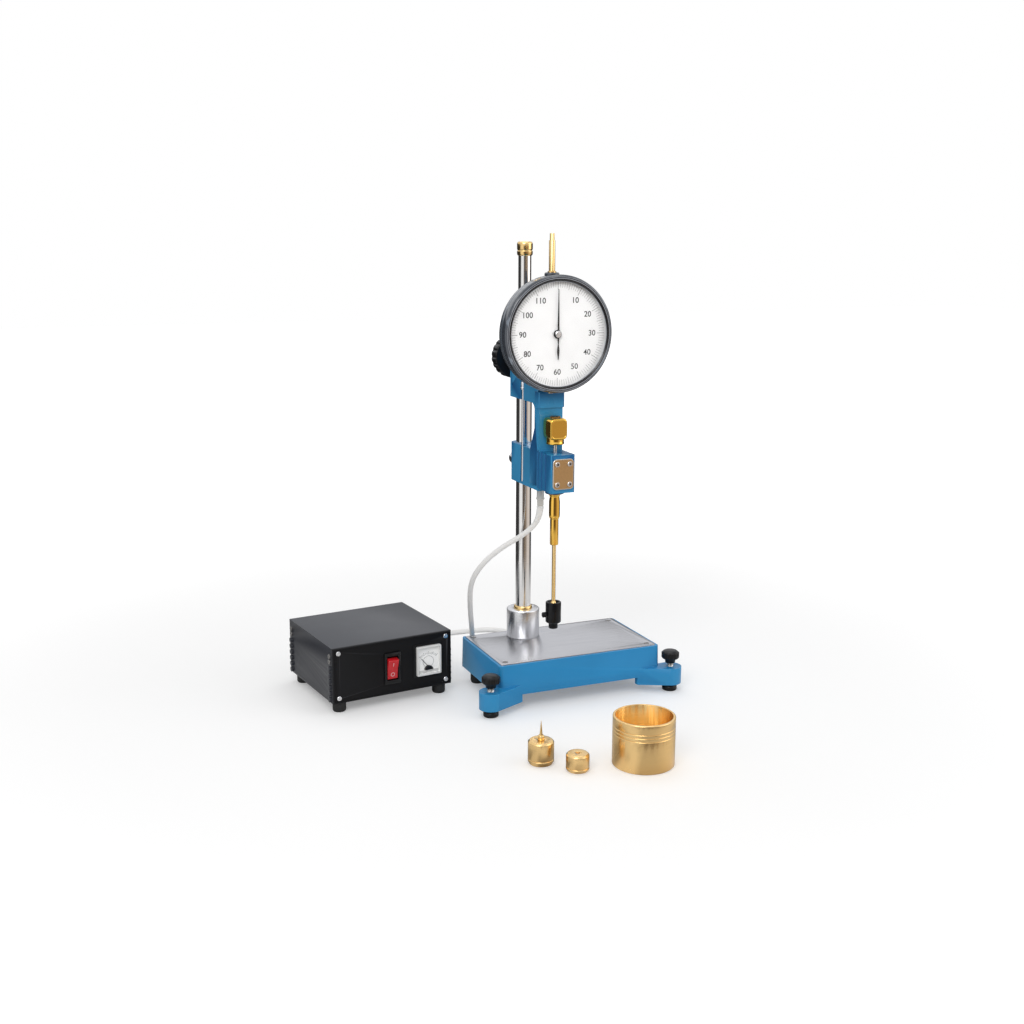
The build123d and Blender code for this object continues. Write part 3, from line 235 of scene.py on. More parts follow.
for name, spot, size, power in (
        ("key", (-1.2, -1.5, 1.7), 1.3, 20.0),
        ("fill", (1.6, -1.0, 1.0), 1.4, 7.0),
        ("top", (0.1, 0.5, 2.0), 1.5, 10.0)):
    lamp_data = bpy.data.lights.new(name, "AREA")
    lamp_data.shape = "SQUARE"
    lamp_data.size = size
    lamp_data.energy = power
    lamp = bpy.data.objects.new(name, lamp_data)
    lamp.location = spot
    lamp.rotation_euler = (at(-0.05, 0.0, 0.2) - Vector(spot)).to_track_quat("-Z", "Y").to_euler()
    bpy.context.collection.objects.link(lamp)


# Signal cable.
# A soft white round lead, moulded to a boot at each end: it hangs from the plug under the head, passes
# the column, drops behind the base and lies in one loose loop on the table to the control box's back.
def soft_plastic(name, colour, roughness, grain_size=900.0, grain_depth=0.12, gloss=0.5):
    material = bpy.data.materials.new(name)
    material.use_nodes = True
    nodes = material.node_tree.nodes
    links = material.node_tree.links
    shader = nodes["Principled BSDF"]
    shader.inputs["Specular IOR Level"].default_value = gloss
    where = nodes.new("ShaderNodeTexCoord")
    grain = nodes.new("ShaderNodeTexNoise")
    give(grain, {"Scale": grain_size, "Detail": 4.0})
    links.new(where.outputs["Object"], grain.inputs["Vector"])
    bump = nodes.new("ShaderNodeBump")
    give(bump, {"Strength": grain_depth, "Distance": 0.0003})
    links.new(grain.outputs["Fac"], bump.inputs["Height"])
    links.new(bump.outputs["Normal"], shader.inputs["Normal"])
    cloud = nodes.new("ShaderNodeTexNoise")
    cloud.inputs["Scale"].default_value = 35.0
    links.new(where.outputs["Object"], cloud.inputs["Vector"])
    tone = nodes.new("ShaderNodeMix")
    tone.data_type = "RGBA"
    give(tone, {"A": (*[c * 0.9 for c in colour], 1.0), "B": (*colour, 1.0)})
    links.new(cloud.outputs["Fac"], tone.inputs["Factor"])
    links.new(tone.outputs["Result"], shader.inputs["Base Color"])
    sheen = nodes.new("ShaderNodeMapRange")
    give(sheen, {"To Min": max(roughness - 0.08, 0.02), "To Max": roughness + 0.08})
    links.new(cloud.outputs["Fac"], sheen.inputs["Value"])
    links.new(sheen.outputs["Result"], shader.inputs["Roughness"])
    return material


cable_radius = 0.003
box_turn = math.radians(7.0)
plug_x = -0.205 + 0.048 * math.cos(box_turn) - 0.081 * math.sin(box_turn)
plug_y = 0.077 + 0.048 * math.sin(box_turn) + 0.081 * math.cos(box_turn)
cable_route = [
    (-0.031, -0.0118, 0.218),
    (-0.0315, -0.0115, 0.2020),
    (-0.0450, -0.002, 0.1845),
    (-0.0700, 0.012, 0.1670),
    (-0.0885, 0.025, 0.1455),
    (-0.0960, 0.037, 0.1225),
    (-0.090, 0.054, 0.0894),
    (-0.079, 0.076, 0.0545),
    (-0.067, 0.103, 0.0092),
    (-0.052, 0.130, 0.0032),
    (-0.004, 0.150, 0.0032),
    (0.028, 0.184, 0.0032),
    (0.008, 0.220, 0.0032),
    (-0.044, 0.226, 0.0032),
    (-0.096, 0.220, 0.0032),
    (-0.146, 0.208, 0.012),
    (plug_x - 0.030 * math.sin(box_turn), plug_y + 0.030 * math.cos(box_turn), 0.040),
    (plug_x, plug_y, 0.040),
]


def lead_mesh(name, thickness):
    curve = bpy.data.curves.new(name, "CURVE")
    curve.dimensions = "3D"
    curve.bevel_depth = thickness
    curve.bevel_resolution = 6
    curve.resolution_u = 14
    curve.use_fill_caps = True
    spline = curve.splines.new("NURBS")
    spline.points.add(len(cable_route) - 1)
    for point, spot in zip(spline.points, cable_route):
        point.co = (*at(*spot), 1.0)
    spline.order_u = 3
    spline.use_endpoint_u = True
    drawn = bpy.data.objects.new(name + "_drawn", curve)
    bpy.context.collection.objects.link(drawn)
    mesh = bpy.data.meshes.new_from_object(drawn)
    mesh.name = name
    bpy.data.objects.remove(drawn)
    return mesh


lead_line = lead_mesh("signal_lead_line", 0.0)
lead_points = [vertex.co.copy() for vertex in lead_line.vertices]
lead_tube = lead_mesh("signal_lead", cable_radius)
for face in lead_tube.polygons:
    face.use_smooth = True
lead = bpy.data.objects.new("signal_lead", lead_tube)
bpy.context.collection.objects.link(lead)
white_lead = soft_plastic("white_lead", (0.93, 0.92, 0.90), 0.4, 500.0, 0.08)
lead_tube.materials.append(white_lead)
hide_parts("signal_cable")


def boot(name, points, wide, body):
    rings = []
    walked = 0.0
    for before, here in zip(points, points[1:]):
        walked += (here - before).length
        if walked < 0.0195:
            rings.append((before, here, walked))
    shape = bmesh.new()
    loops = []
    for before, here, walked in rings:
        along = (here - before).normalized()
        across = along.orthogonal().normalized()
        other = along.cross(across)
        share = walked / 0.02
        radius = wide + (cable_radius + 0.0004 - wide) * share
        if int(walked / 0.0022) % 2 and share > 0.15:
            radius -= 0.0003
        loops.append([shape.verts.new(here + (across * math.cos(a) + other * math.sin(a)) * radius)
                      for a in [2 * math.pi * k / 24 for k in range(24)]])
    for low, high in zip(loops, loops[1:]):
        shift = min(range(24), key=lambda k: (low[0].co - high[k].co).length)
        for k in range(24):
            shape.faces.new((low[k], low[(k + 1) % 24], high[(k + 1 + shift) % 24], high[(k + shift) % 24]))
    shape.faces.new(list(reversed(loops[0])))
    shape.faces.new(loops[-1])
    bmesh.ops.recalc_face_normals(shape, faces=shape.faces)
    for face in shape.faces:
        face.smooth = len(face.verts) == 4
    mesh = bpy.data.meshes.new(name)
    shape.to_mesh(mesh)
    shape.free()
    piece = bpy.data.objects.new(name, mesh)
    bpy.context.collection.objects.link(piece)
    mesh.materials.append(white_lead)
    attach(piece, body)
    return piece


def finely(points, count):
    fine = []
    for a, b in zip(points, points[1:]):
        steps = max(int((b - a).length / 0.0008), 1)
        fine += [a.lerp(b, k / steps) for k in range(steps)]
        if len(fine) > count:
            break
    return fine


head_boot = boot("head_lead_boot", finely(lead_points, 60), 0.0042, "head")
box_boot = boot("box_lead_boot", finely(list(reversed(lead_points)), 60), 0.0042, "stand")
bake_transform(lead)


# Base casting.
# A shallow box of cast iron with two ears, filled and painted with blue machine enamel.
# Its edges are rounded by the paint, and a lighter blue is put on them as a painted highlight.
def softened(node, name, width, body, steps=3, sharp=32.0, face_finish=None, edge_highlight_paint=None):
    shape = bmesh.new()
    shape.from_mesh(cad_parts[node].data)
    bmesh.ops.remove_doubles(shape, verts=shape.verts, dist=1e-6)
    bmesh.ops.dissolve_limit(shape, angle_limit=math.radians(0.6), verts=shape.verts, edges=shape.edges)
    mesh = bpy.data.meshes.new(name)
    shape.to_mesh(mesh)
    shape.free()
    rough = bpy.data.objects.new(name + "_rough", mesh)
    bpy.context.collection.objects.link(rough)
    for face in mesh.polygons:
        face.use_smooth = True
    bevel = rough.modifiers.new("edges", "BEVEL")
    bevel.width = width
    bevel.segments = steps
    bevel.limit_method = "ANGLE"
    bevel.angle_limit = math.radians(sharp)
    bevel.use_clamp_overlap = True
    bevel.harden_normals = True
    # A second material on the bevel faces paints a highlight along the edges.
    if edge_highlight_paint:
        mesh.materials.clear()
        mesh.materials.append(face_finish)
        mesh.materials.append(edge_highlight_paint)
        bevel.material = 1
    finished = bpy.data.meshes.new_from_object(rough.evaluated_get(bpy.context.evaluated_depsgraph_get()))
    finished.name = name
    piece = bpy.data.objects.new(name, finished)
    bpy.context.collection.objects.link(piece)
    bpy.data.objects.remove(rough)
    if not edge_highlight_paint:
        finished.materials.clear()
    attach(piece, body)
    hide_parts(node)
    return piece


def enamel(name, colour, edge_highlight_colour, roughness, coat=0.25, peel_depth=0.18, gloss=0.3):
    material = bpy.data.materials.new(name)
    material.use_nodes = True
    nodes = material.node_tree.nodes
    links = material.node_tree.links
    shader = nodes["Principled BSDF"]
    give(shader, {"Specular IOR Level": gloss, "Coat Weight": coat, "Coat Roughness": 0.14})
    where = nodes.new("ShaderNodeTexCoord")
    peel = nodes.new("ShaderNodeTexNoise")
    give(peel, {"Scale": 420.0, "Detail": 3.0})
    links.new(where.outputs["Object"], peel.inputs["Vector"])
    bump = nodes.new("ShaderNodeBump")
    give(bump, {"Strength": peel_depth, "Distance": 0.0006})
    links.new(peel.outputs["Fac"], bump.inputs["Height"])
    links.new(bump.outputs["Normal"], shader.inputs["Normal"])
    cloud = nodes.new("ShaderNodeTexNoise")
    give(cloud, {"Scale": 14.0, "Detail": 5.0})
    links.new(where.outputs["Object"], cloud.inputs["Vector"])
    tone = nodes.new("ShaderNodeMix")
    tone.data_type = "RGBA"
    give(tone, {"A": (*[c * 0.86 for c in colour], 1.0),
                "B": (*[min(c * 1.1, 1.0) for c in colour], 1.0)})
    links.new(cloud.outputs["Fac"], tone.inputs["Factor"])
    # Convex edges, found by pointiness, are lightened towards the edge colour: a painted edge highlight on
    # every enamel and paint made here.
    shape = nodes.new("ShaderNodeNewGeometry")
    rim = nodes.new("ShaderNodeMapRange")
    give(rim, {"From Min": 0.52, "From Max": 0.60, "To Max": 0.75})
    links.new(shape.outputs["Pointiness"], rim.inputs["Value"])
    painted_edge_highlight = nodes.new("ShaderNodeMix")
    painted_edge_highlight.data_type = "RGBA"
    painted_edge_highlight.inputs["B"].default_value = (*edge_highlight_colour, 1.0)
    links.new(rim.outputs["Result"], painted_edge_highlight.inputs["Factor"])
    links.new(tone.outputs["Result"], painted_edge_highlight.inputs["A"])
    links.new(painted_edge_highlight.outputs["Result"], shader.inputs["Base Color"])
    sheen = nodes.new("ShaderNodeMapRange")
    give(sheen, {"To Min": roughness - 0.08, "To Max": roughness + 0.1})
    links.new(cloud.outputs["Fac"], sheen.inputs["Value"])
    links.new(sheen.outputs["Result"], shader.inputs["Roughness"])
    return material


blue_enamel = enamel("blue_enamel", (0.022, 0.262, 0.560), (0.09, 0.48, 0.78), 0.34, 0.15)
blue_painted_highlight = enamel("blue_enamel_painted_highlight", (0.140, 0.500, 0.760), (0.20, 0.58, 0.80), 0.24, 0.7)
base = softened("base_casting", "base_cast_body", 0.0012, "stand", face_finish=blue_enamel,
                edge_highlight_paint=blue_painted_highlight)


# Ground plate and its screws.
# Mild steel, ground lengthways, held by four countersunk slotted screws near its corners.
def fine_metal(name, colour, roughness, lines, line_depth=0.25, shade=0.75):
    material = bpy.data.materials.new(name)
    material.use_nodes = True
    nodes = material.node_tree.nodes
    links = material.node_tree.links
    shader = nodes["Principled BSDF"]
    shader.inputs["Metallic"].default_value = 1.0
    where = nodes.new("ShaderNodeTexCoord")
    stretch = nodes.new("ShaderNodeMapping")
    stretch.inputs["Scale"].default_value = lines
    links.new(where.outputs["Object"], stretch.inputs["Vector"])
    grain = nodes.new("ShaderNodeTexNoise")
    give(grain, {"Scale": 1.0, "Detail": 6.0})
    links.new(stretch.outputs["Vector"], grain.inputs["Vector"])
    bump = nodes.new("ShaderNodeBump")
    give(bump, {"Strength": line_depth, "Distance": 0.0002})
    links.new(grain.outputs["Fac"], bump.inputs["Height"])
    links.new(bump.outputs["Normal"], shader.inputs["Normal"])
    tone = nodes.new("ShaderNodeMix")
    tone.data_type = "RGBA"
    give(tone, {"A": (*[c * shade for c in colour], 1.0),
                "B": (*[min(c * 1.08, 1.0) for c in colour], 1.0)})
    links.new(grain.outputs["Fac"], tone.inputs["Factor"])
    links.new(tone.outputs["Result"], shader.inputs["Base Color"])
    smear = nodes.new("ShaderNodeTexNoise")
    give(smear, {"Scale": 22.0, "Detail": 3.0})
    links.new(where.outputs["Object"], smear.inputs["Vector"])
    sheen = nodes.new("ShaderNodeMapRange")
    give(sheen, {"To Min": max(roughness - 0.07, 0.02), "To Max": roughness + 0.1})
    links.new(smear.outputs["Fac"], sheen.inputs["Value"])
    links.new(sheen.outputs["Result"], shader.inputs["Roughness"])
    return material


def dress(material, *names):
    for name in names:
        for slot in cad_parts[name].material_slots:
            slot.material = material


def finish_nodes(material, slot_name, body, width, *names):
    for name in names:
        piece = softened(name, name + "_body", width, body, steps=2)
        piece.data.materials.append(material)


ground_steel = fine_metal("ground_plate_steel", (0.60, 0.60, 0.62), 0.22, (12.0, 2600.0, 2600.0), 0.3)
turned_steel = fine_metal("turned_steel", (0.60, 0.60, 0.60), 0.24, (30.0, 30.0, 3000.0), 0.2)
screw_steel = fine_metal("oiled_screw_steel", (0.30, 0.29, 0.28), 0.35, (900.0, 900.0, 900.0), 0.2)
finish_nodes(ground_steel, "ground_steel", "stand", 0.0004, "top_plate")
finish_nodes(screw_steel, "bright_steel", "stand", 0.00015, "plate_screws")
dress(turned_steel, "column_bolt", "clamp_stud", "clutch_sleeve", "pinion")


# Levelling screws.
# A fluted black moulded knob on a bright screw, which turns in the ear and stands in a black pad.
def carved(node, keep_above):
    shape = bmesh.new()
    shape.from_mesh(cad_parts[node].data)
    bmesh.ops.remove_doubles(shape, verts=shape.verts, dist=1e-6)
    everything = list(shape.verts) + list(shape.edges) + list(shape.faces)
    bmesh.ops.bisect_plane(shape, geom=everything, plane_co=(0, 0, keep_above), plane_no=(0, 0, 1),
                           clear_inner=True)
    bmesh.ops.holes_fill(shape, edges=[edge for edge in shape.edges if edge.is_boundary], sides=0)
    bmesh.ops.recalc_face_normals(shape, faces=shape.faces)
    bmesh.ops.dissolve_limit(shape, angle_limit=math.radians(0.6), verts=shape.verts, edges=shape.edges)
    mesh = bpy.data.meshes.new(node + "_carved")
    shape.to_mesh(mesh)
    shape.free()
    return mesh


def rounded(mesh, name, width, body, steps=2, sharp=32.0):
    for face in mesh.polygons:
        face.use_smooth = True
    rough = bpy.data.objects.new(name + "_rough", mesh)
    bpy.context.collection.objects.link(rough)
    bevel = rough.modifiers.new("edges", "BEVEL")
    bevel.width = width
    bevel.segments = steps
    bevel.limit_method = "ANGLE"
    bevel.angle_limit = math.radians(sharp)
    bevel.harden_normals = True
    finished = bpy.data.meshes.new_from_object(rough.evaluated_get(bpy.context.evaluated_depsgraph_get()))
    finished.name = name
    bpy.data.objects.remove(rough)
    piece = bpy.data.objects.new(name, finished)
    bpy.context.collection.objects.link(piece)
    finished.materials.clear()
    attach(piece, body)
    return piece


def new_tree(name):
    tree = bpy.data.node_groups.new(name, "GeometryNodeTree")
    tree.is_modifier = True
    tree.interface.new_socket("Geometry", in_out="OUTPUT", socket_type="NodeSocketGeometry")
    return tree


def grown(name, tree, values, material, body, place=None):
    seed = bpy.data.meshes.new(name + "_seed")
    seed.from_pydata([(0.0, 0.0, 0.0)], [], [])
    holder = bpy.data.objects.new(name + "_grown", seed)
    bpy.context.collection.objects.link(holder)
    modifier = holder.modifiers.new("repeat", "NODES")
    modifier.node_group = tree
    for item in tree.interface.items_tree:
        if item.item_type == "SOCKET" and item.in_out == "INPUT":
            modifier[item.identifier] = material if item.name == "Material" else values[item.name]
    mesh = bpy.data.meshes.new_from_object(holder.evaluated_get(bpy.context.evaluated_depsgraph_get()))
    bpy.data.objects.remove(holder)
    if place is not None:
        mesh.transform(place)
    mesh.name = name
    piece = bpy.data.objects.new(name, mesh)
    bpy.context.collection.objects.link(piece)
    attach(piece, body)
    return piece


def thread_tree():
    tree = new_tree("screw_thread")
    for socket, kind in (("Turns", "NodeSocketInt"), ("Pitch", "NodeSocketFloat"),
                         ("Root Radius", "NodeSocketFloat"),
                         ("Crest Radius", "NodeSocketFloat"), ("Material", "NodeSocketMaterial")):
        tree.interface.new_socket(socket, in_out="INPUT", socket_type=kind)
    nodes = tree.nodes
    links = tree.links
    given = nodes.new("NodeGroupInput")
    result = nodes.new("NodeGroupOutput")
    line = nodes.new("GeometryNodeMeshLine")
    links.new(given.outputs["Turns"], line.inputs["Count"])
    step = nodes.new("ShaderNodeCombineXYZ")
    links.new(given.outputs["Pitch"], step.inputs["Z"])
    links.new(step.outputs["Vector"], line.inputs["Offset"])
    half_pitch = working(nodes, "ShaderNodeMath", "MULTIPLY")
    half_pitch.inputs[1].default_value = 0.5
    links.new(given.outputs["Pitch"], half_pitch.inputs[0])
    both = nodes.new("GeometryNodeJoinGeometry")
    for top, bottom, lift in (("Crest Radius", "Root Radius", False), ("Root Radius", "Crest Radius", True)):
        flank = nodes.new("GeometryNodeMeshCone")
        flank.fill_type = "NONE"
        flank.inputs["Vertices"].default_value = 28
        links.new(given.outputs[top], flank.inputs["Radius Top"])
        links.new(given.outputs[bottom], flank.inputs["Radius Bottom"])
        links.new(half_pitch.outputs["Value"], flank.inputs["Depth"])
        if lift:
            raise_by = nodes.new("ShaderNodeCombineXYZ")
            links.new(half_pitch.outputs["Value"], raise_by.inputs["Z"])
            raised = nodes.new("GeometryNodeTransform")
            links.new(flank.outputs["Mesh"], raised.inputs["Geometry"])
            links.new(raise_by.outputs["Vector"], raised.inputs["Translation"])
            links.new(raised.outputs["Geometry"], both.inputs["Geometry"])
        else:
            links.new(flank.outputs["Mesh"], both.inputs["Geometry"])
    put = nodes.new("GeometryNodeInstanceOnPoints")
    links.new(line.outputs["Mesh"], put.inputs["Points"])
    links.new(both.outputs["Geometry"], put.inputs["Instance"])
    real = nodes.new("GeometryNodeRealizeInstances")
    links.new(put.outputs["Instances"], real.inputs["Geometry"])
    paint = nodes.new("GeometryNodeSetMaterial")
    links.new(real.outputs["Geometry"], paint.inputs["Geometry"])
    links.new(given.outputs["Material"], paint.inputs["Material"])
    links.new(paint.outputs["Geometry"], result.inputs["Geometry"])
    return tree


black_moulding = soft_plastic("black_moulding", (0.007, 0.007, 0.008), 0.30, gloss=0.3)
thread_steel = fine_metal("thread_steel", (0.72, 0.71, 0.69), 0.2, (40.0, 40.0, 900.0), 0.1)
level_thread = thread_tree()
knob_bottom = 0.0328
for side in ("left", "right"):
    low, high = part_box(side + "_level_screw")
    knob = rounded(carved(side + "_level_screw", knob_bottom), side + "_level_knob", 0.0006, side + "_screw")
    knob.data.materials.append(black_moulding)
    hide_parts(side + "_level_screw")
    grown(side + "_level_thread", level_thread,
          {"Turns": 23, "Pitch": 0.00125, "Root Radius": 0.0034, "Crest Radius": 0.00395}, thread_steel,
          side + "_screw",
          Matrix.Translation(((low[0] + high[0]) / 2, (low[1] + high[1]) / 2, 0.0041)))
    finish_nodes(black_moulding, "black_plastic", side + "_foot", 0.0004, side + "_level_pad")
black_rubber = soft_plastic("black_rubber", (0.012, 0.012, 0.012), 0.6, 1400.0, 0.3)
finish_nodes(black_rubber, "black_rubber", "stand", 0.0006, "rear_feet")


# Column, socket and cap.
# A bright drawn bar in a turned aluminium socket, with brass rings where it goes in and at its top.
def turned_piece(name, profile, x, y, body, material, slot_name, steps=64, flutes=0, flute_depth=0.0):
    shape = bmesh.new()
    loops = []
    for radius, z in profile:
        loop = []
        for k in range(steps):
            a = 2 * math.pi * k / steps
            r = max(radius - (flute_depth if flutes and int(k * 2 * flutes / steps) % 2 else 0.0), 0.0)
            loop.append(shape.verts.new((*(at(x, y,
                                              0.0) + Vector((r * math.cos(a), r * math.sin(a), 0.0))).xy, z)))
        loops.append(loop)
    for low_loop, high_loop in zip(loops, loops[1:]):
        for k in range(steps):
            shape.faces.new((low_loop[k], low_loop[(k + 1) % steps], high_loop[(k + 1) % steps],
                             high_loop[k]))
    shape.faces.new(list(reversed(loops[0])))
    shape.faces.new(loops[-1])
    bmesh.ops.recalc_face_normals(shape, faces=shape.faces)
    mesh = bpy.data.meshes.new(name)
    shape.to_mesh(mesh)
    shape.free()
    piece = rounded(mesh, name, 0.00012, body)
    piece.data.materials.append(material)
    return piece


column_place = (-0.031, 0.035)
column_steel = fine_metal("column_steel", (0.80, 0.79, 0.78), 0.10, (40.0, 40.0, 700.0), 0.03, 0.95)
column_low, column_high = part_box("column")
column_radius = (column_high[0] - column_low[0]) / 2
column_step = 0.444
column = turned_piece(
    "column_bar", [(column_radius, column_low[2]), (column_radius, column_step),
                   (0.0072, column_step + 0.0008), (0.0072, column_high[2])],
    *column_place, "stand", column_steel, "ground_steel", 96)
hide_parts("column")
socket_aluminium = fine_metal("socket_aluminium", (0.74, 0.74, 0.75), 0.26, (40.0, 40.0, 2600.0), 0.25, 0.84)
finish_nodes(socket_aluminium, "turned_aluminium", "stand", 0.0005, "column_socket", "signal_socket")
bright_brass = fine_metal("bright_brass", (0.86, 0.60, 0.26), 0.14, (40.0, 40.0, 2600.0), 0.1, 0.9)
finish_nodes(bright_brass, "brass", "stand", 0.0004, "socket_collar")
cap_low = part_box("column_cap")[0][2]
cap_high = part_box("column_cap")[1][2]
cap = turned_piece(
    "column_end_cap", [(0.0074, cap_low), (0.0084, cap_low + 0.0010), (0.0087, cap_low + 0.0022),
                       (0.0087, cap_low + 0.0048), (0.0081, cap_low + 0.0056), (0.0081, cap_low + 0.0062),
                       (0.0087, cap_low + 0.0070), (0.0087, cap_high - 0.0026), (0.0084, cap_high - 0.0013),
                       (0.0077, cap_high - 0.0004), (0.0067, cap_high)],
    *column_place, "stand", bright_brass, "brass", 96)
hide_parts("column_cap")


# Head casting.
# One casting in the same blue enamel, bored for the column and the plunger, with a darker cover
# under the magnet, a bright guide rod in its side groove and a bolt at its back. Its enamel is a darker
# copy of the base's blue as painted shade, and a lighter blue on its edges is a painted highlight.
head_blue_painted_shade = enamel("head_blue_painted_shade", (0.004, 0.098, 0.285), (0.05, 0.34, 0.62), 0.30, 0.12)
head_highlight_enamel = enamel("painted_highlight_head_blue", (0.070, 0.370, 0.640), (0.12, 0.46, 0.72), 0.22, 0.7)
head = softened("head_casting", "head_cast_body", 0.0011, "head", face_finish=head_blue_painted_shade,
                edge_highlight_paint=head_highlight_enamel)
dark_enamel = enamel("dark_enamel", (0.012, 0.070, 0.165), (0.08, 0.2, 0.36), 0.4)
plunger_place = (-0.031, -0.049)
cover_low, cover_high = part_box("lower_cover")[0][2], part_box("head_casting")[0][2] + 0.0042
cover = turned_piece("lower_cover_ring", [(0.0070, cover_low), (0.0099, cover_low),
                                          (0.0104, cover_low + 0.0006),
                                          (0.0104, cover_high)],
                     *plunger_place, "head", dark_enamel, "dark_blue_paint", 72)
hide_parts("lower_cover")
chrome = fine_metal("polished_rod", (0.76, 0.76, 0.77), 0.15, (40.0, 40.0, 900.0), 0.03, 0.95)
finish_nodes(chrome, "bright_steel", "head", 0.0003, "guide_rod", "clamp_bolt")
finish_nodes(black_moulding, "black_plastic", "clamp", 0.0005, "clamp_knob")
pale_plug = soft_plastic("pale_plug", (0.66, 0.65, 0.62), 0.25, 500.0, 0.05)
finish_nodes(pale_plug, "turned_aluminium", "head", 0.0004, "head_plug")
finish_nodes(pale_plug, "turned_aluminium", "stand", 0.0004, "box_plug")


# Blank name plate.
# A plate of brass with round corners, lacquered, and held by four bright socket screws.
def screw_head(name, radius, height, key_radius, key):
    steps = 48
    rings = [(key_radius, height * 0.35, key), (key_radius, height, key), (radius * 0.86, height, None),
             (radius, height * 0.72, None), (radius, 0.0, None)]
    shape = bmesh.new()
    centre = shape.verts.new((0.0, 0.0, height * 0.3))
    loops = []
    for ring_radius, z, form in rings:
        loop = []
        for k in range(steps):
            a = 2 * math.pi * k / steps
            r = ring_radius
            if form == "hexagon":
                r *= math.cos(math.pi / 6) / math.cos(a % (math.pi / 3) - math.pi / 6)
            if form == "cross":
                r *= 0.28 + 0.72 * abs(math.cos(2 * a)) ** 5
            loop.append(shape.verts.new((r * math.cos(a), r * math.sin(a), z)))
        loops.append(loop)
    for k in range(steps):
        shape.faces.new((centre, loops[0][k], loops[0][(k + 1) % steps]))
    for inner, outer in zip(loops, loops[1:]):
        for k in range(steps):
            shape.faces.new((inner[k], outer[k], outer[(k + 1) % steps], inner[(k + 1) % steps]))
    mesh = bpy.data.meshes.new(name)
    shape.to_mesh(mesh)
    shape.free()
    head_object = bpy.data.objects.new(name, mesh)
    bpy.context.collection.objects.link(head_object)
    return head_object


def screws_tree():
    tree = new_tree("screws_in_corners")
    for socket, kind in (("Width", "NodeSocketFloat"), ("Height", "NodeSocketFloat"),
                         ("Seed", "NodeSocketInt"),
                         ("Screw", "NodeSocketObject"), ("Material", "NodeSocketMaterial")):
        tree.interface.new_socket(socket, in_out="INPUT", socket_type=kind)
    nodes = tree.nodes
    links = tree.links
    given = nodes.new("NodeGroupInput")
    result = nodes.new("NodeGroupOutput")
    corners = nodes.new("GeometryNodeMeshGrid")
    give(corners, {"Vertices X": 2, "Vertices Y": 2})
    links.new(given.outputs["Width"], corners.inputs["Size X"])
    links.new(given.outputs["Height"], corners.inputs["Size Y"])
    source = nodes.new("GeometryNodeObjectInfo")
    links.new(given.outputs["Screw"], source.inputs["Object"])
    spin = nodes.new("FunctionNodeRandomValue")
    spin.data_type = "FLOAT"
    spin.inputs[3].default_value = 3.0
    links.new(given.outputs["Seed"], spin.inputs["Seed"])
    turn = nodes.new("ShaderNodeCombineXYZ")
    links.new(spin.outputs[1], turn.inputs["Z"])
    put = nodes.new("GeometryNodeInstanceOnPoints")
    links.new(corners.outputs["Mesh"], put.inputs["Points"])
    links.new(source.outputs["Geometry"], put.inputs["Instance"])
    links.new(turn.outputs["Vector"], put.inputs["Rotation"])
    real = nodes.new("GeometryNodeRealizeInstances")
    links.new(put.outputs["Instances"], real.inputs["Geometry"])
    paint = nodes.new("GeometryNodeSetMaterial")
    links.new(real.outputs["Geometry"], paint.inputs["Geometry"])
    links.new(given.outputs["Material"], paint.inputs["Material"])
    links.new(paint.outputs["Geometry"], result.inputs["Geometry"])
    return tree


facing_front = Matrix.Rotation(math.radians(90.0), 4, "X")
plate_brass = fine_metal("plate_brass", (0.66, 0.42, 0.20), 0.40, (700.0, 700.0, 700.0), 0.25, 0.8)
plate_rim = fine_metal("plate_rim", (0.80, 0.74, 0.64), 0.25, (700.0, 700.0, 700.0), 0.1, 0.9)
front_low, front_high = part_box("front_plate")
front_half = ((front_high[0] - front_low[0]) / 2, (front_high[2] - front_low[2]) / 2)
front_thickness = front_high[1] - front_low[1]
front_plate = bmesh.new()
front_loops = []
for inset, height in ((0.0, 0.0), (0.0, front_thickness - 0.0003), (0.0003, front_thickness),
                      (0.0010, front_thickness)):
    ring = []
    for quarter, (sx, sy) in enumerate(((1, 1), (-1, 1), (-1, -1), (1, -1))):
        for step in range(9):
            a = math.radians(90.0 * quarter + 90.0 * step / 8)
            ring.append(front_plate.verts.new((
                sx * (front_half[0] - 0.0046) + (0.0046 - inset) * math.cos(a),
                sy * (front_half[1] - 0.0046) + (0.0046 - inset) * math.sin(a), height)))
    front_loops.append(ring)
for inner, outer in zip(front_loops, front_loops[1:]):
    for k in range(36):
        face = front_plate.faces.new((inner[k], inner[(k + 1) % 36], outer[(k + 1) % 36], outer[k]))
        face.material_index = 1
front_plate.faces.new(front_loops[-1])
front_plate.faces.new(list(reversed(front_loops[0])))
front_mesh = bpy.data.meshes.new("front_plate_body")
front_plate.to_mesh(front_mesh)
front_plate.free()
front_mesh.transform(Matrix.Translation(((front_low[0] + front_high[0]) / 2, front_high[1],
                                         (front_low[2] + front_high[2]) / 2)) @ facing_front)
name_plate = bpy.data.objects.new("front_plate_body", front_mesh)
bpy.context.collection.objects.link(name_plate)
front_mesh.materials.append(plate_brass)
front_mesh.materials.append(plate_rim)
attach(name_plate, "head")
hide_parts("front_plate")
corner_screws = screws_tree()
front_head = screw_head("front_screw_head", 0.0028, 0.0014, 0.00135, "hexagon")
front_screw_spots = {"Width": 0.0145, "Height": 0.0220, "Seed": 3}
front_face = Matrix.Translation(at(-0.031, -0.0712, 0.2635)) @ facing_front
front_screws = grown("front_plate_screw_heads", corner_screws, {**front_screw_spots, "Screw": front_head},
                     chrome, "head", front_face)
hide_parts("front_plate_screws")
front_key = screw_head("front_screw_key", 0.00132, 0.0007, 0.0006, "hexagon")
grown("front_plate_screw_keys", corner_screws, {**front_screw_spots, "Screw": front_key}, black_moulding,
      "head", front_face)
bpy.data.objects.remove(front_head)
bpy.data.objects.remove(front_key)


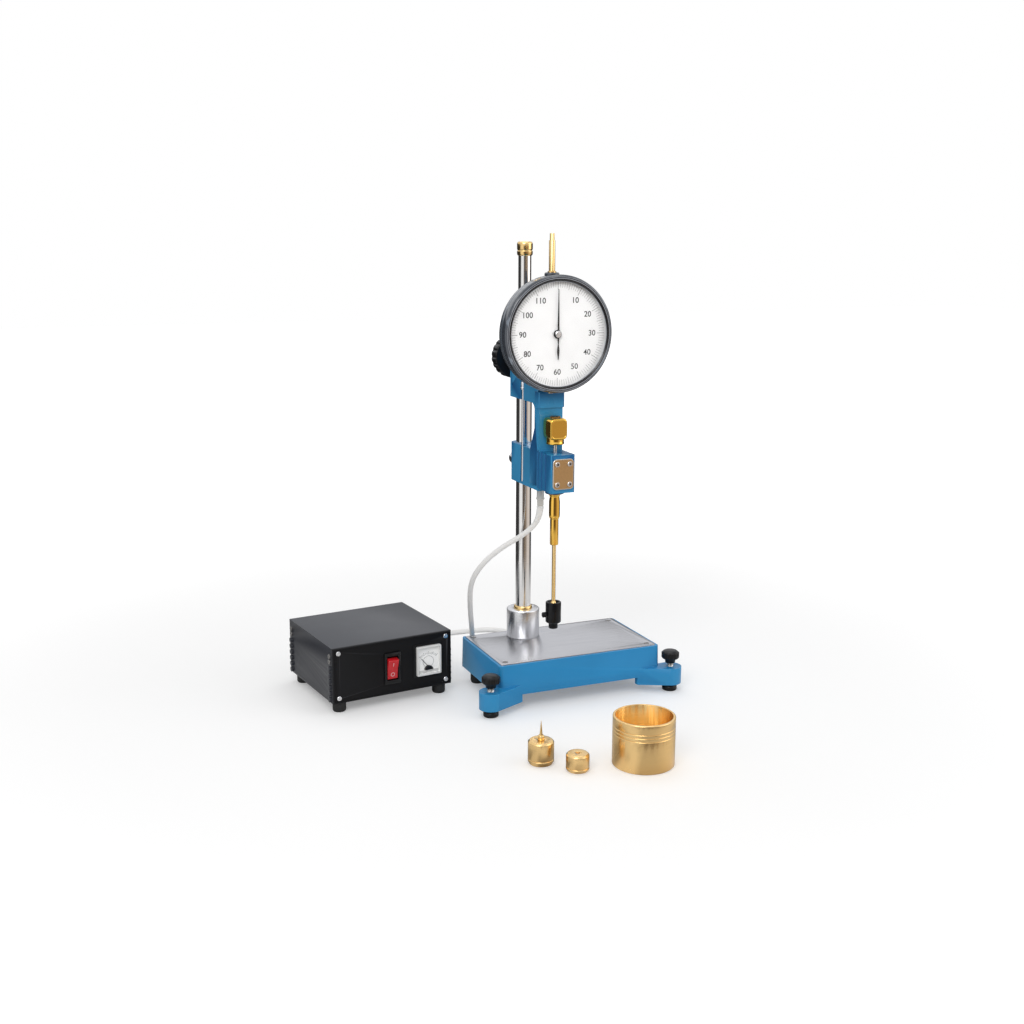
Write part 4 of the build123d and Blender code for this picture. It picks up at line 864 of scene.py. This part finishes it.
# Plunger.
# A steel spindle with a round-cornered brass block pinned to its top, a knurled lock nut over it, a brass
# rod that slides in the guide tube, and a black chuck with a thumb screw.
gold_brass = fine_metal("lacquered_brass", (0.93, 0.55, 0.10), 0.13, (40.0, 40.0, 1800.0), 0.03, 0.95)
block_low, block_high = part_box("plunger_head")
block_height = 0.0235
block_middle = Vector((*at(*plunger_place, 0.0).xy, block_high[2] - block_height / 2))
block_half = ((block_high[0] - block_low[0]) / 2, block_height / 2)
block_rings = ((0.0099, 0.76), (0.0099, 0.79), (0.01025, 0.82), (0.01025, 0.87), (0.0100, 0.915),
               (0.0092, 0.965),
               (0.0078, 1.0), (-0.0078, 1.0), (-0.0092, 0.965), (-0.0100, 0.90), (-0.01025, 0.82))
block = bmesh.new()
block_loops = []
for toward_front, share in block_rings:
    ring = []
    for k in range(96):
        a = 2 * math.pi * k / 96
        across = math.copysign(abs(math.cos(a)) ** 0.42, math.cos(a)) * block_half[0] * share
        up = math.copysign(abs(math.sin(a)) ** 0.42, math.sin(a)) * block_half[1] * share
        ring.append(block.verts.new(block_middle + Vector((across, -toward_front, up))))
    block_loops.append(ring)
for near, away in zip(block_loops, block_loops[1:]):
    for k in range(96):
        block.faces.new((near[k], near[(k + 1) % 96], away[(k + 1) % 96], away[k]))
block.faces.new(block_loops[0])
block.faces.new(list(reversed(block_loops[-1])))
bmesh.ops.recalc_face_normals(block, faces=block.faces)
block_mesh = bpy.data.meshes.new("plunger_head_block")
block.to_mesh(block_mesh)
block.free()
plunger_block = rounded(block_mesh, "plunger_head_block", 0.0002, "plunger")
plunger_block.data.materials.append(gold_brass)
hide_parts("plunger_head")
skirt_low = block_low[2]
turned_piece("plunger_skirt",
             [(0.0091, skirt_low), (0.0098, skirt_low + 0.0007), (0.0098, skirt_low + 0.0018),
              (0.0095, skirt_low + 0.0024), (0.0097, skirt_low + 0.0060), (0.0097, skirt_low + 0.0110)],
             *plunger_place, "plunger", gold_brass, "brass", 72)

bronze = fine_metal("dark_bronze", (0.30, 0.19, 0.08), 0.3, (400.0, 400.0, 400.0), 0.2)
nut_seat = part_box("plunger_head")[1][2]
turned_piece("plunger_lock_nut", [(0.0056, nut_seat), (0.0056, nut_seat + 0.0012),
                                  (0.0048, nut_seat + 0.0016)],
             *plunger_place, "plunger", bronze, "brass", 72, 18, 0.0004)
finish_nodes(turned_steel, "bright_steel", "plunger", 0.0002, "spindle")
tube_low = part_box("guide_tube")[0][2]
guide_tube = turned_piece(
    "guide_tube_body", [(0.0036, tube_low), (0.0042, tube_low), (0.0046, tube_low + 0.0008),
                        (0.0046, cover_low - 0.0284), (0.0052, cover_low - 0.0276), (0.0059,
                                                                                     cover_low - 0.0252),
                        (0.0060, cover_low - 0.0220), (0.0060, cover_low - 0.0090), (0.0053,
                                                                                     cover_low - 0.0044),
                        (0.0055, cover_low - 0.0030), (0.0070, cover_low - 0.0008), (0.0070, cover_low)],
    *plunger_place, "head", gold_brass, "brass", 72)
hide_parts("guide_tube")
finish_nodes(bright_brass, "brass", "plunger", 0.0003, "plunger_rod")
chuck_black = soft_plastic("chuck_black", (0.006, 0.006, 0.007), 0.24, 700.0, 0.1, 0.25)
finish_nodes(chuck_black, "black_plastic", "plunger", 0.0004, "chuck")
finish_nodes(chuck_black, "black_plastic", "chuck_thumb_screw", 0.0003, "chuck_screw")


# Dial gauge case, ring and rod.
# A turned case and a turning ring in dark grey-blue paint, a brass rack rod through two bright glands.
dial_paint = enamel("dial_paint", (0.040, 0.048, 0.062), (0.22, 0.26, 0.31), 0.20, 0.8, 0.03, 0.5)
finish_nodes(dial_paint, "dark_paint", "head", 0.0006, "dial_case")
bezel = softened("bezel", "bezel_ring_body", 0.0010, "bezel_ring", steps=4)
bezel.data.materials.append(dial_paint)
finish_nodes(bright_brass, "brass", "rack_rod", 0.0003, "rack")
rack_low, rack_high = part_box("rack")
rack_place = ((rack_low[0] + rack_high[0]) / 2 - stand_x, (rack_low[1] + rack_high[1]) / 2 - stand_y)
gland_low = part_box("rack_glands")[0]
dial_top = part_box("bezel")[1][2]
gland = turned_piece("rack_gland_base", [(0.0078, dial_top - 0.0050), (0.0078, dial_top + 0.0008),
                                         (0.0070, dial_top + 0.0018), (0.0040, dial_top + 0.0018)],
                     *rack_place, "head", dial_paint, "dark_paint", 48)
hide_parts("rack_glands")
turned_piece("rack_gland_bush", [(0.0046, dial_top + 0.0016), (0.0046, dial_top + 0.0030),
                                 (0.0038, dial_top + 0.0034)],
             *rack_place, "head", bright_brass, "brass", 48)
turned_piece("rack_gland_below", [(0.0050, gland_low[2]), (0.0056, gland_low[2] + 0.0006),
                                  (0.0056, gland_low[2] + 0.0080)],
             *rack_place, "head", dial_paint, "dark_paint", 48)


# Dial face.
# White printed card with 120 fine divisions and a figure at every tenth one.
def graduation_tree():
    tree = new_tree("graduations")
    for socket, kind in (("Count", "NodeSocketInt"), ("First Angle", "NodeSocketFloat"),
                         ("Step", "NodeSocketFloat"),
                         ("Middle Radius", "NodeSocketFloat"), ("Length", "NodeSocketFloat"),
                         ("Width", "NodeSocketFloat"), ("Material", "NodeSocketMaterial")):
        tree.interface.new_socket(socket, in_out="INPUT", socket_type=kind)
    nodes = tree.nodes
    links = tree.links
    given = nodes.new("NodeGroupInput")
    result = nodes.new("NodeGroupOutput")
    index = nodes.new("GeometryNodeInputIndex")
    angle = working(nodes, "ShaderNodeMath", "MULTIPLY_ADD")
    links.new(index.outputs["Index"], angle.inputs[0])
    links.new(given.outputs["Step"], angle.inputs[1])
    links.new(given.outputs["First Angle"], angle.inputs[2])
    spot = nodes.new("ShaderNodeCombineXYZ")
    for operation, target in (("SINE", "X"), ("COSINE", "Y")):
        part = nodes.new("ShaderNodeMath")
        part.operation = operation
        links.new(angle.outputs["Value"], part.inputs[0])
        reach = working(nodes, "ShaderNodeMath", "MULTIPLY")
        links.new(part.outputs["Value"], reach.inputs[0])
        links.new(given.outputs["Middle Radius"], reach.inputs[1])
        links.new(reach.outputs["Value"], spot.inputs[target])
    dots = nodes.new("GeometryNodePoints")
    links.new(given.outputs["Count"], dots.inputs["Count"])
    links.new(spot.outputs["Vector"], dots.inputs["Position"])
    back = working(nodes, "ShaderNodeMath", "MULTIPLY")
    back.inputs[1].default_value = -1.0
    links.new(angle.outputs["Value"], back.inputs[0])
    turn = nodes.new("ShaderNodeCombineXYZ")
    links.new(back.outputs["Value"], turn.inputs["Z"])
    stroke = nodes.new("GeometryNodeMeshGrid")
    give(stroke, {"Vertices X": 2, "Vertices Y": 2})
    links.new(given.outputs["Width"], stroke.inputs["Size X"])
    links.new(given.outputs["Length"], stroke.inputs["Size Y"])
    put = nodes.new("GeometryNodeInstanceOnPoints")
    links.new(dots.outputs["Points"], put.inputs["Points"])
    links.new(stroke.outputs["Mesh"], put.inputs["Instance"])
    links.new(turn.outputs["Vector"], put.inputs["Rotation"])
    real = nodes.new("GeometryNodeRealizeInstances")
    links.new(put.outputs["Instances"], real.inputs["Geometry"])
    paint = nodes.new("GeometryNodeSetMaterial")
    links.new(real.outputs["Geometry"], paint.inputs["Geometry"])
    links.new(given.outputs["Material"], paint.inputs["Material"])
    links.new(paint.outputs["Geometry"], result.inputs["Geometry"])
    return tree


def ring_on_dial(name, profile, front, material, body, steps=144):
    shape = bmesh.new()
    loops = []
    for radius, depth in profile:
        loops.append([shape.verts.new((radius * math.cos(2 * math.pi * k / steps),
                                       radius * math.sin(2 * math.pi * k / steps),
                                       -depth)) for k in range(steps)])
    for inner, outer in zip(loops, loops[1:]):
        for k in range(steps):
            shape.faces.new((inner[k], outer[k], outer[(k + 1) % steps], inner[(k + 1) % steps]))
    mesh = bpy.data.meshes.new(name)
    shape.to_mesh(mesh)
    shape.free()
    mesh.transform(Matrix.Translation((dial_centre.x, front, dial_centre.z)) @ facing_front)
    piece = bpy.data.objects.new(name, mesh)
    bpy.context.collection.objects.link(piece)
    mesh.materials.append(material)
    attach(piece, body)
    return piece


dial_white = soft_plastic("dial_white", (0.90, 0.90, 0.90), 0.5, 900.0, 0.02)
dial_ink = soft_plastic("dial_ink", (0.035, 0.035, 0.038), 0.5)
grey_ink = soft_plastic("grey_ink", (0.12, 0.12, 0.125), 0.5)
dial_centre = at(-0.0305, 0.0, (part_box("bezel")[0][2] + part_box("bezel")[1][2]) / 2)
face_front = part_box("dial_face")[0][1]
face_radius = (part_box("dial_face")[1][0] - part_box("dial_face")[0][0]) / 2
face_card = ring_on_dial("dial_card", [(0.0016, 0.0009), (0.0016, 0.0), (face_radius, 0.0),
                                       (face_radius, 0.0009), (0.0016, 0.0009)],
                         face_front, dial_white, "bezel_ring")
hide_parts("dial_face")
bezel_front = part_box("bezel")[0][1]
# A glossy black ring laid on the bezel's inner slope paints the shade on that inner wall.
bezel_painted_shade_black = soft_plastic("bezel_painted_shade_black", (0.012, 0.012, 0.015), 0.2, 900.0, 0.02)
bezel_painted_highlight_grey = soft_plastic("bezel_painted_highlight_grey", (0.42, 0.44, 0.48), 0.25, 900.0, 0.02)
ring_on_dial("bezel_inner_ring", [(0.0553, 0.0013), (0.0553, 0.0010), (0.0570, -0.0001),
                                  (0.0579, -0.0001), (0.0579, 0.0002)],
             bezel_front, bezel_painted_shade_black, "bezel_ring")
# Thin pale grey rings on the bezel face and at the glass seat are painted highlights.
for highlight_name, highlight_inner, highlight_outer in (("bright", 0.0579, 0.0584), ("outer", 0.0596, 0.0599)):
    ring_on_dial("bezel_" + highlight_name + "_line",
                 [(highlight_inner, 0.0001), (highlight_inner, -0.0001), (highlight_outer, -0.0001),
                                                  (highlight_outer, 0.0001)],
                 bezel_front, bezel_painted_highlight_grey, "bezel_ring")
ring_on_dial("glass_seat_line", [(0.0549, 0.0014), (0.0549, 0.0011), (0.0553, 0.0010), (0.0553, 0.0014)],
             bezel_front, bezel_painted_highlight_grey, "bezel_ring")
on_face = Matrix.Translation((dial_centre.x, face_front - 0.00004, dial_centre.z)) @ facing_front
graduations = graduation_tree()
for name, count, length, width, ink in (
        ("fine_divisions", 120, 0.0060, 0.00024, grey_ink),
        ("middle_divisions", 24, 0.0072, 0.00030, grey_ink),
        ("long_divisions", 12, 0.0084, 0.00038, dial_ink)):
    grown("dial_" + name, graduations,
          {"Count": count, "First Angle": 0.0, "Step": 2 * math.pi / count,
           "Middle Radius": 0.0545 - length / 2,
           "Length": length, "Width": width}, ink, "bezel_ring",
          Matrix.Translation((0.0, -0.00001, 0.0)) @ on_face)


def printed(name, figures, size, ink, body, place):
    shape = bmesh.new()
    for text, x, y in figures:
        curve = bpy.data.curves.new(name + "_figure", "FONT")
        curve.body = text
        curve.size = size
        curve.align_x = "CENTER"
        curve.align_y = "CENTER"
        curve.space_character = 1.02
        curve.offset = size * 0.016
        drawn = bpy.data.objects.new(name + "_figure", curve)
        bpy.context.collection.objects.link(drawn)
        mesh = bpy.data.meshes.new_from_object(drawn)
        bpy.data.objects.remove(drawn)
        mesh.transform(place @ Matrix.Translation((x, y, 0.0)))
        shape.from_mesh(mesh)
    mesh = bpy.data.meshes.new(name)
    shape.to_mesh(mesh)
    shape.free()
    piece = bpy.data.objects.new(name, mesh)
    bpy.context.collection.objects.link(piece)
    mesh.materials.clear()
    mesh.materials.append(ink)
    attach(piece, body)
    return piece


dial_figures = []
for tenth in range(1, 12):
    a = math.radians(30.0 * tenth)
    dial_figures.append((str(10 * tenth), 0.0402 * math.sin(a), 0.0402 * math.cos(a)))
printed("dial_figures", dial_figures, 0.0083, dial_ink, "bezel_ring", on_face)


# Dial pointer.
# A thin black hand with a leaf-shaped tail, on a bright hub that is pressed on the arbor.
def flat_hand(name, outline, thickness, place, material, body):
    shape = bmesh.new()
    front = [shape.verts.new((x, y, thickness)) for x, y in outline]
    back = [shape.verts.new((x, y, 0.0)) for x, y in outline]
    shape.faces.new(front)
    shape.faces.new(list(reversed(back)))
    for k in range(len(outline)):
        j = (k + 1) % len(outline)
        shape.faces.new((back[k], back[j], front[j], front[k]))
    bmesh.ops.recalc_face_normals(shape, faces=shape.faces)
    mesh = bpy.data.meshes.new(name)
    shape.to_mesh(mesh)
    shape.free()
    mesh.transform(place)
    piece = bpy.data.objects.new(name, mesh)
    bpy.context.collection.objects.link(piece)
    mesh.materials.append(material)
    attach(piece, body)
    return piece


ink_black = soft_plastic("ink_black", (0.010, 0.010, 0.011), 0.35)
pointer_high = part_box("pointer")[1]
right_side = [(0.00085, -0.0062), (0.00055, -0.0105), (0.0009, -0.0135), (0.00135, -0.0175),
              (0.0010, -0.0215),
              (0.00035, -0.0268)]
left_side = [(-x, y) for x, y in reversed(right_side)]
hand = flat_hand("pointer_hand", [(-0.0003, 0.0470), (-0.0011, 0.0), *reversed(left_side),
                                  *reversed(right_side),
                                  (0.0011, 0.0), (0.0003, 0.0470)][::-1], 0.0004,
                 Matrix.Translation((dial_centre.x, pointer_high[1] - 0.0003, dial_centre.z)) @ facing_front,
                 ink_black, "pointer_arbor")
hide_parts("pointer")
flat_hand("pointer_boss", [(0.0046 * math.cos(math.radians(a)) - 0.0008, 0.0046 * math.sin(math.radians(a)))
                           for a in range(0, 360, 9)], 0.0003,
          Matrix.Translation((dial_centre.x, pointer_high[1] - 0.0003, dial_centre.z)) @ facing_front,
          ink_black, "pointer_arbor")
hub_rings = [(0.0001, 0.0013), (0.0012, 0.0013), (0.0014, 0.0010), (0.0028, 0.0010), (0.0036, 0.0005),
             (0.0038, 0.0)]
hub = bmesh.new()
hub_loops = [[hub.verts.new((r * math.cos(2 * math.pi * k / 40), r * math.sin(2 * math.pi * k / 40), z))
              for k in range(40)] for r, z in hub_rings]
for inner, outer in zip(hub_loops, hub_loops[1:]):
    for k in range(40):
        hub.faces.new((inner[k], outer[k], outer[(k + 1) % 40], inner[(k + 1) % 40]))
hub.faces.new(hub_loops[0])
hub_mesh = bpy.data.meshes.new("pointer_hub")
hub.to_mesh(hub_mesh)
hub.free()
hub_mesh.transform(Matrix.Translation((dial_centre.x, pointer_high[1] - 0.0004,
                                       dial_centre.z)) @ facing_front)
hub_piece = bpy.data.objects.new("pointer_hub", hub_mesh)
bpy.context.collection.objects.link(hub_piece)
hub_mesh.materials.append(chrome)
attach(hub_piece, "pointer_arbor")


# Dial glass.
# A flat watch glass, clipped in the turning ring.
def clear(name, roughness):
    material = bpy.data.materials.new(name)
    material.use_nodes = True
    nodes = material.node_tree.nodes
    links = material.node_tree.links
    shader = nodes["Principled BSDF"]
    give(shader, {"Base Color": (1.0, 1.0, 1.0, 1.0), "Transmission Weight": 1.0, "IOR": 1.12})
    where = nodes.new("ShaderNodeTexCoord")
    film = nodes.new("ShaderNodeTexNoise")
    film.inputs["Scale"].default_value = 60.0
    links.new(where.outputs["Object"], film.inputs["Vector"])
    haze = nodes.new("ShaderNodeMapRange")
    give(haze, {"To Min": roughness * 0.5, "To Max": roughness * 1.5})
    links.new(film.outputs["Fac"], haze.inputs["Value"])
    links.new(haze.outputs["Result"], shader.inputs["Roughness"])
    through = nodes.new("ShaderNodeBsdfTransparent")
    ray = nodes.new("ShaderNodeLightPath")
    choose = nodes.new("ShaderNodeMixShader")
    links.new(ray.outputs["Is Shadow Ray"], choose.inputs["Fac"])
    links.new(shader.outputs["BSDF"], choose.inputs[1])
    links.new(through.outputs["BSDF"], choose.inputs[2])
    links.new(choose.outputs["Shader"], nodes["Material Output"].inputs["Surface"])
    return material


watch_glass = clear("watch_glass", 0.02)
dress(watch_glass, "crystal")

# Control box.
# Folded sheet in fine dark paint over a chassis, with a thicker black front panel on four bright screws.
box_paint = enamel("box_paint", (0.026, 0.028, 0.036), (0.09, 0.095, 0.105), 0.38, 0.1, 0.08)
panel_paint = enamel("panel_paint", (0.007, 0.007, 0.008), (0.05, 0.05, 0.055), 0.42, 0.0, 0.08, 0.15)
finish_nodes(box_paint, "black_paint", "stand", 0.0006, "box_cover", "box_chassis")
finish_nodes(panel_paint, "black_paint", "stand", 0.0005, "front_panel")
finish_nodes(black_rubber, "black_rubber", "stand", 0.0008, "box_feet")
box_place = Matrix.Translation(at(-0.205, 0.077, 0.0)) @ Matrix.Rotation(box_turn, 4, "Z")
panel_head = screw_head("panel_screw_head", 0.0027, 0.0015, 0.0016, "cross")
panel_screw_heads = grown("panel_screw_heads", corner_screws,
                          {"Width": 0.130, "Height": 0.051, "Seed": 5, "Screw": panel_head}, chrome, "stand",
                          box_place @ Matrix.Translation((0.0, -0.0642,
                                                                          0.0435)) @ facing_front)
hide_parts("panel_screws")
for name, side in (("left", -1), ("right", 1)):
    grown("box_" + name + "_side_screws", corner_screws,
          {"Width": 0.116, "Height": 0.006, "Seed": 7,
           "Screw": panel_head}, screw_steel, "stand",
          box_place @ Matrix.Translation((side * 0.072, 0.001, 0.062))
          @ Matrix.Rotation(math.radians(90.0 * side), 4, "Z") @ facing_front)
bpy.data.objects.remove(panel_head)

# Rocker switch.
# A red moulded rocker in a black frame, marked with a bar and a ring.
finish_nodes(black_moulding, "black_plastic", "stand", 0.0005, "switch_frame")
finish_nodes(black_moulding, "black_plastic", "stand", 0.0004, "mains_inlet")
red_plastic = soft_plastic("red_plastic", (0.62, 0.012, 0.020), 0.22, 900.0, 0.03)
finish_nodes(red_plastic, "red_plastic", "switch_rocker", 0.0008, "rocker")
pale_mark = soft_plastic("pale_mark", (0.80, 0.45, 0.45), 0.4)
rocker_place = box_place @ Matrix.Translation((-0.001, -0.061,
                                               0.042)) @ Matrix.Rotation(math.radians(12.0), 4, "X")
upper_pad = rocker_place @ Matrix.Translation((0.0, -0.00556,
                                               0.0060)) @ Matrix.Rotation(math.radians(6.8), 4, "X")
lower_pad = rocker_place @ Matrix.Translation((0.0, -0.00556,
                                               -0.0062)) @ Matrix.Rotation(math.radians(-6.8), 4, "X")
flat_hand("rocker_on_bar", [(-0.0004, -0.0022), (0.0004, -0.0022), (0.0004, 0.0022), (-0.0004, 0.0022)],
          0.00006,
          upper_pad @ facing_front, pale_mark, "switch_rocker")
ring_shape = bmesh.new()
rims = [[ring_shape.verts.new((r * math.cos(2 * math.pi * k / 32), r * math.sin(2 * math.pi * k / 32),
                               0.00006))
         for k in range(32)] for r in (0.0017, 0.0024)]
for k in range(32):
    ring_shape.faces.new((rims[0][k], rims[1][k], rims[1][(k + 1) % 32], rims[0][(k + 1) % 32]))
ring_mesh = bpy.data.meshes.new("rocker_off_ring")
ring_shape.to_mesh(ring_mesh)
ring_shape.free()
ring_mesh.transform(lower_pad @ facing_front)
off_ring = bpy.data.objects.new("rocker_off_ring", ring_mesh)
bpy.context.collection.objects.link(off_ring)
ring_mesh.materials.append(pale_mark)
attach(off_ring, "switch_rocker")

# Panel meter.
# A white moulded case on a black gasket, with a printed arc, a small inner ring, a black hand and hub cover.
meter_white = soft_plastic("meter_white", (0.80, 0.80, 0.79), 0.35, 900.0, 0.03)
finish_nodes(meter_white, "white_plastic", "stand", 0.0004, "meter_case")
dress(watch_glass, "meter_window")
dress(ink_black, "meter_needle")
gasket_outline = [(-0.0180, -0.0188), (0.0168, -0.0188), (0.0168, 0.0192), (-0.0180, 0.0192)]
flat_hand("meter_gasket", gasket_outline, 0.0005,
          box_place @ Matrix.Translation((0.043, -0.0642, 0.0445)) @ facing_front, black_moulding, "stand")
meter_pivot = box_place @ Matrix.Translation((0.043, -0.06484, 0.0365)) @ facing_front
for name, count, step, radius, length, width in (
        ("scale", 21, 4.0, 0.0158, 0.0024, 0.00022), ("main", 5, 20.0, 0.0162, 0.0036, 0.00034)):
    grown("meter_" + name + "_marks", graduations,
          {"Count": count, "First Angle": math.radians(-40.0), "Step": math.radians(step),
           "Middle Radius": radius,
           "Length": length, "Width": width}, dial_ink, "stand", meter_pivot)
meter_ring = bmesh.new()
ring_spots = [[meter_ring.verts.new((r * math.cos(2 * math.pi * k / 48),
                                     0.006 + r * math.sin(2 * math.pi * k / 48), 0.0))
               for k in range(48)] for r in (0.0064, 0.0068)]
for k in range(48):
    meter_ring.faces.new((ring_spots[0][k], ring_spots[1][k], ring_spots[1][(k + 1) % 48],
                          ring_spots[0][(k + 1) % 48]))
meter_ring_mesh = bpy.data.meshes.new("meter_inner_ring")
meter_ring.to_mesh(meter_ring_mesh)
meter_ring.free()
meter_ring_mesh.transform(meter_pivot)
inner_ring = bpy.data.objects.new("meter_inner_ring", meter_ring_mesh)
bpy.context.collection.objects.link(inner_ring)
meter_ring_mesh.materials.append(grey_ink)
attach(inner_ring, "stand")
hub_outline = [(0.0050 * math.cos(math.radians(a)), 0.0046 * math.sin(math.radians(a)) - 0.0028)
               for a in range(0, 181, 12)]
flat_hand("meter_hub_cover", hub_outline, 0.0026, meter_pivot, black_moulding, "stand")
flat_hand("meter_lower_band", [(-0.0127, -0.0087), (0.0127, -0.0087), (0.0127, -0.0036),
                               (-0.0127, -0.0036)], 0.0002,
          meter_pivot, soft_plastic("meter_grey", (0.55, 0.55, 0.54), 0.4), "stand")

# Inside the control box and the head.
# A varnished transformer, a green laminate board, and the release magnet's bobbin and copper winding.
dress(soft_plastic("core_iron", (0.08, 0.08, 0.09), 0.5), "transformer")
dress(soft_plastic("green_board", (0.02, 0.12, 0.06), 0.5), "timer_board")
dress(soft_plastic("copper_winding", (0.45, 0.16, 0.06), 0.35), "magnet_winding")
dress(black_moulding, "magnet_bobbin")

# Cup, weights and needle.
# Turned from brass bar and lacquered, with fine tool marks round them and bright broken edges.
satin_brass = fine_metal("satin_brass", (0.92, 0.63, 0.28), 0.24, (50.0, 50.0, 2200.0), 0.2, 0.88)
finish_nodes(satin_brass, "brass", "stand", 0.0004, "sample_cup")
finish_nodes(satin_brass, "brass", "stand", 0.0003, "weight_hundred", "weight_fifty")
finish_nodes(bright_brass, "brass", "stand", 0.0001, "test_needle")
